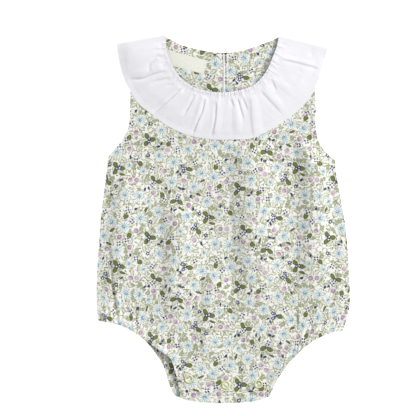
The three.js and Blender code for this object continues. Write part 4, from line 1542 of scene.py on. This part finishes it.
def floralPrint(tree, cut):
    # the whole print, from the place in the cut in metres; each layer covers those before it
    place, spot = printPlace(tree, cut)
    ground = addVines(tree, printColours["cloth"], place)
    ground = addSpecks(tree, ground, place)
    for cell, shift in motifSizes["leafNets"]:
        ground = addPaleLeaves(tree, ground, place, cell, shift)
    ground = addDaisies(tree, ground, spot, bigDaisies, motifSizes["bigDaisy"], 8)
    ground = addDaisies(tree, ground, spot, smallDaisies, motifSizes["smallDaisy"], 6)
    ground = addBuds(tree, ground, place, spot)
    ground = addDarkLeaves(tree, ground, spot, sprigParts("leaf"), "darkLeaf")
    ground = addDarkLeaves(tree, ground, spot, slimLeaves, "slimLeaf")
    ground = addNavyFlowers(tree, ground, spot)
    ground = addNavyDots(tree, ground, spot)
    return addCommas(tree, ground, spot)


weave = {"thread": 0.7, "high": 0.06, "crumple": 9.0, "crumpleHigh": 0.25}


def clothBump(tree, cut):
    # plain weave, drawn a little coarser than the real 0.3 mm thread so that it shows, and
    # the soft unevenness of washed cotton
    scale = 2 * math.pi / (weave["thread"] * mm)
    turned = addNode(tree, "VectorMath", {0: cut, 1: (scale, scale, 0)}, operation="MULTIPLY")
    parts = addNode(tree, "SeparateXYZ", {0: turned})
    warp = addNode(tree, "Math", {0: parts.outputs[0]}, operation="SINE")
    weft = addNode(tree, "Math", {0: parts.outputs[1]}, operation="SINE")
    threads = addNode(tree, "Math", {0: warp, 1: weft}, operation="MULTIPLY")
    net = {"Vector": cut, "Scale": 1 / (weave["crumple"] * mm), "Detail": 3.0, "Roughness": 0.55}
    soft = addNode(tree, "TexNoise", net, noise_dimensions="2D").outputs[0]
    relief = {"Height": threads, "Strength": 0.35, "Distance": weave["high"] * mm}
    woven = addNode(tree, "Bump", relief)
    relief = {"Height": soft, "Strength": 0.6, "Distance": weave["crumpleHigh"] * mm}
    return addNode(tree, "Bump", {**relief, "Normal": woven})


def makePrintedCotton():
    # printed cotton poplin: matt, with a faint fuzz at grazing angles
    material = newMaterial("printedCottonPoplin")
    tree = material.node_tree
    cut = addNode(tree, "UVMap", uv_map="flatCut")
    colour = floralPrint(tree, cut)
    settings = {"Roughness": 0.85, "Sheen Weight": 0.12, "Sheen Roughness": 0.5, "IOR": 1.45}
    finishMaterial(tree, colour, clothBump(tree, cut), settings)
    return material


def makeWhiteCotton():
    # bleached cotton voile of the collar: matt and slightly cool
    material = newMaterial("whiteCottonVoile")
    tree = material.node_tree
    cut = addNode(tree, "UVMap", uv_map="flatCut")
    noise = addNode(tree, "TexNoise", {"Vector": cut, "Scale": 1 / (14 * mm), "Detail": 2.0})
    tone = over(tree, "#ebeaef", noise.outputs[0], "#f1f0f4")
    settings = {"Roughness": 0.85, "Sheen Weight": 0.1, "Sheen Roughness": 0.5, "IOR": 1.45}
    finishMaterial(tree, tone, clothBump(tree, cut), settings)
    return material


def makeLabelTape():
    # damask-woven polyester tape: fine cross ribs and a soft satin sheen
    material = newMaterial("wovenLabelTape")
    tree = material.node_tree
    cut = addNode(tree, "UVMap", uv_map="flatCut")
    # the real ribs, 0.2 mm apart, are drawn at 0.6 mm so that they show
    ribs = addNode(
        tree, "VectorMath", {0: cut, 1: (2 * math.pi / (0.6 * mm), 1.0, 0)}, operation="MULTIPLY"
    )
    parts = addNode(tree, "SeparateXYZ", {0: ribs})
    rib = addNode(tree, "Math", {0: parts.outputs[0]}, operation="SINE")
    noise = addNode(tree, "TexNoise", {"Vector": cut, "Scale": 1 / (3 * mm), "Detail": 3.0})
    tone = over(tree, "#e6e7dc", noise.outputs[0], "#f1f1e8")
    bump = addNode(tree, "Bump", {"Height": rib, "Strength": 0.4, "Distance": 0.05 * mm})
    settings = {"Roughness": 0.5, "Sheen Weight": 0.1, "Anisotropic": 0.3}
    finishMaterial(tree, tone, bump, settings)
    return material


def makeThread(name, light, dark):
    # spun polyester thread: twisted plies with a faint gloss
    material = newMaterial(name)
    tree = material.node_tree
    place = addNode(tree, "TexCoord").outputs["Object"]
    twist = addNode(
        tree,
        "TexWave",
        {"Vector": place, "Scale": 1 / (3.2 * mm), "Distortion": 2.0},
        bands_direction="DIAGONAL",
    )
    # the twist's sunken bands are painted darker and its raised ones paler: painted shade and
    # painted light on plies of one colour
    tone = over(tree, dark, twist.outputs[1], light)
    relief = {"Height": twist.outputs[1], "Strength": 0.5, "Distance": 0.05 * mm}
    bump = addNode(tree, "Bump", relief)
    finishMaterial(tree, tone, bump, {"Roughness": 0.6, "Sheen Weight": 0.1})
    return material


def makeSnapEnamel():
    # pale yellow-green enamel baked on rolled brass: satin, a little uneven in the thick places
    material = newMaterial("snapEnamelOnBrass")
    tree = material.node_tree
    place = addNode(tree, "TexCoord").outputs["Object"]
    noise = addNode(tree, "TexNoise", {"Vector": place, "Scale": 1 / (2.5 * mm), "Detail": 3.0})
    tone = over(tree, "#ccd689", noise.outputs[0], "#e2e8b4")
    relief = {"Height": noise.outputs[0], "Strength": 0.3, "Distance": 0.04 * mm}
    bump = addNode(tree, "Bump", relief)
    settings = {"Roughness": 0.32, "Coat Weight": 0.5, "Coat Roughness": 0.15, "IOR": 1.5}
    finishMaterial(tree, tone, bump, settings)
    return material


printedCotton = makePrintedCotton()
whiteCotton = makeWhiteCotton()
labelTape = makeLabelTape()
threadKinds = {
    "printed_cotton": makeThread("creamThread", "#eeecdf", "#cfccb8"),
    "white_cotton": makeThread("whiteThread", "#f2f1f4", "#d4d3da"),
}
snapEnamel = makeSnapEnamel()
print("materials made")

front.data.materials.append(printedCotton)
for back in backs.values():
    back.data.materials.append(printedCotton)
collar.data.materials.append(whiteCotton)
tape.data.materials.append(labelTape)
seam.data.materials.append(threadKinds["white_cotton"])

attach(front, "root")
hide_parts("front_panel")
for name, back in backs.items():
    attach(back, "root")
    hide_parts(f"back_panel_{name}")
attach(collar, "root")
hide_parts("collar_ruffle")
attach(tape, "root")
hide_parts("neck_label")
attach(seam, "root")
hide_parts("back_seam_edge")
for slot, pieces in threads.items():
    for piece in pieces:
        piece.data.materials.append(threadKinds[slot])
        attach(piece, "root")
for node, ring in rings.items():
    ring.data.materials.append(snapEnamel)
    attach(ring, "root")
    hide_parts(node)


# Camera, straight above as in the photograph, with a long lens
view = {"middle": (-16.9, 11.5), "wide": 457.6, "high": 2000.0, "level": 5.0, "sensor": 36.0}
camera = bpy.data.objects.new("camera", bpy.data.cameras.new("camera"))
bpy.context.scene.collection.objects.link(camera)
camera.location = (view["middle"][0] * mm, view["middle"][1] * mm, view["high"] * mm)
camera.data.sensor_width = view["sensor"]
camera.data.lens = view["sensor"] * (view["high"] - view["level"]) / view["wide"]
bpy.context.scene.camera = camera

# Soft studio light, the main one from the upper right
lights = {
    "key": {"at": (8.1, 5.7, 6.7), "size": 3.9, "power": 1345.0},
    "fill": {"at": (-1.0, -0.6, 1.6), "size": 1.6, "power": 3.0},
}
backdrop = {"world": 0.46, "glow": 0.6, "floorWide": 6, "floorAt": (0, 0, -0.0001)}
for name, row in lights.items():
    lamp = bpy.data.objects.new(name, bpy.data.lights.new(name, "AREA"))
    bpy.context.scene.collection.objects.link(lamp)
    lamp.location = row["at"]
    lamp.rotation_euler = (-Vector(row["at"])).to_track_quat("-Z", "Y").to_euler()
    lamp.data.size = row["size"]
    lamp.data.energy = row["power"]
world = bpy.data.worlds.new("studio")
bpy.context.scene.world = world
world.use_nodes = True
surroundings = world.node_tree.nodes["Background"]
surroundings.inputs["Color"].default_value = (1.0, 1.0, 1.0, 1.0)
surroundings.inputs["Strength"].default_value = backdrop["world"]
bpy.context.scene.view_settings.view_transform = "Standard"

bpy.ops.mesh.primitive_plane_add(size=backdrop["floorWide"], location=backdrop["floorAt"])
floor = bpy.context.active_object
floor.name = "floor"
paper = newMaterial("whitePaper")
glow = {"Emission Color": (1.0, 1.0, 1.0, 1.0), "Emission Strength": backdrop["glow"]}
finishMaterial(paper.node_tree, toLinear("#f4f4f4"), None, {"Roughness": 0.9, **glow})
floor.data.materials.append(paper)
print("stage set")
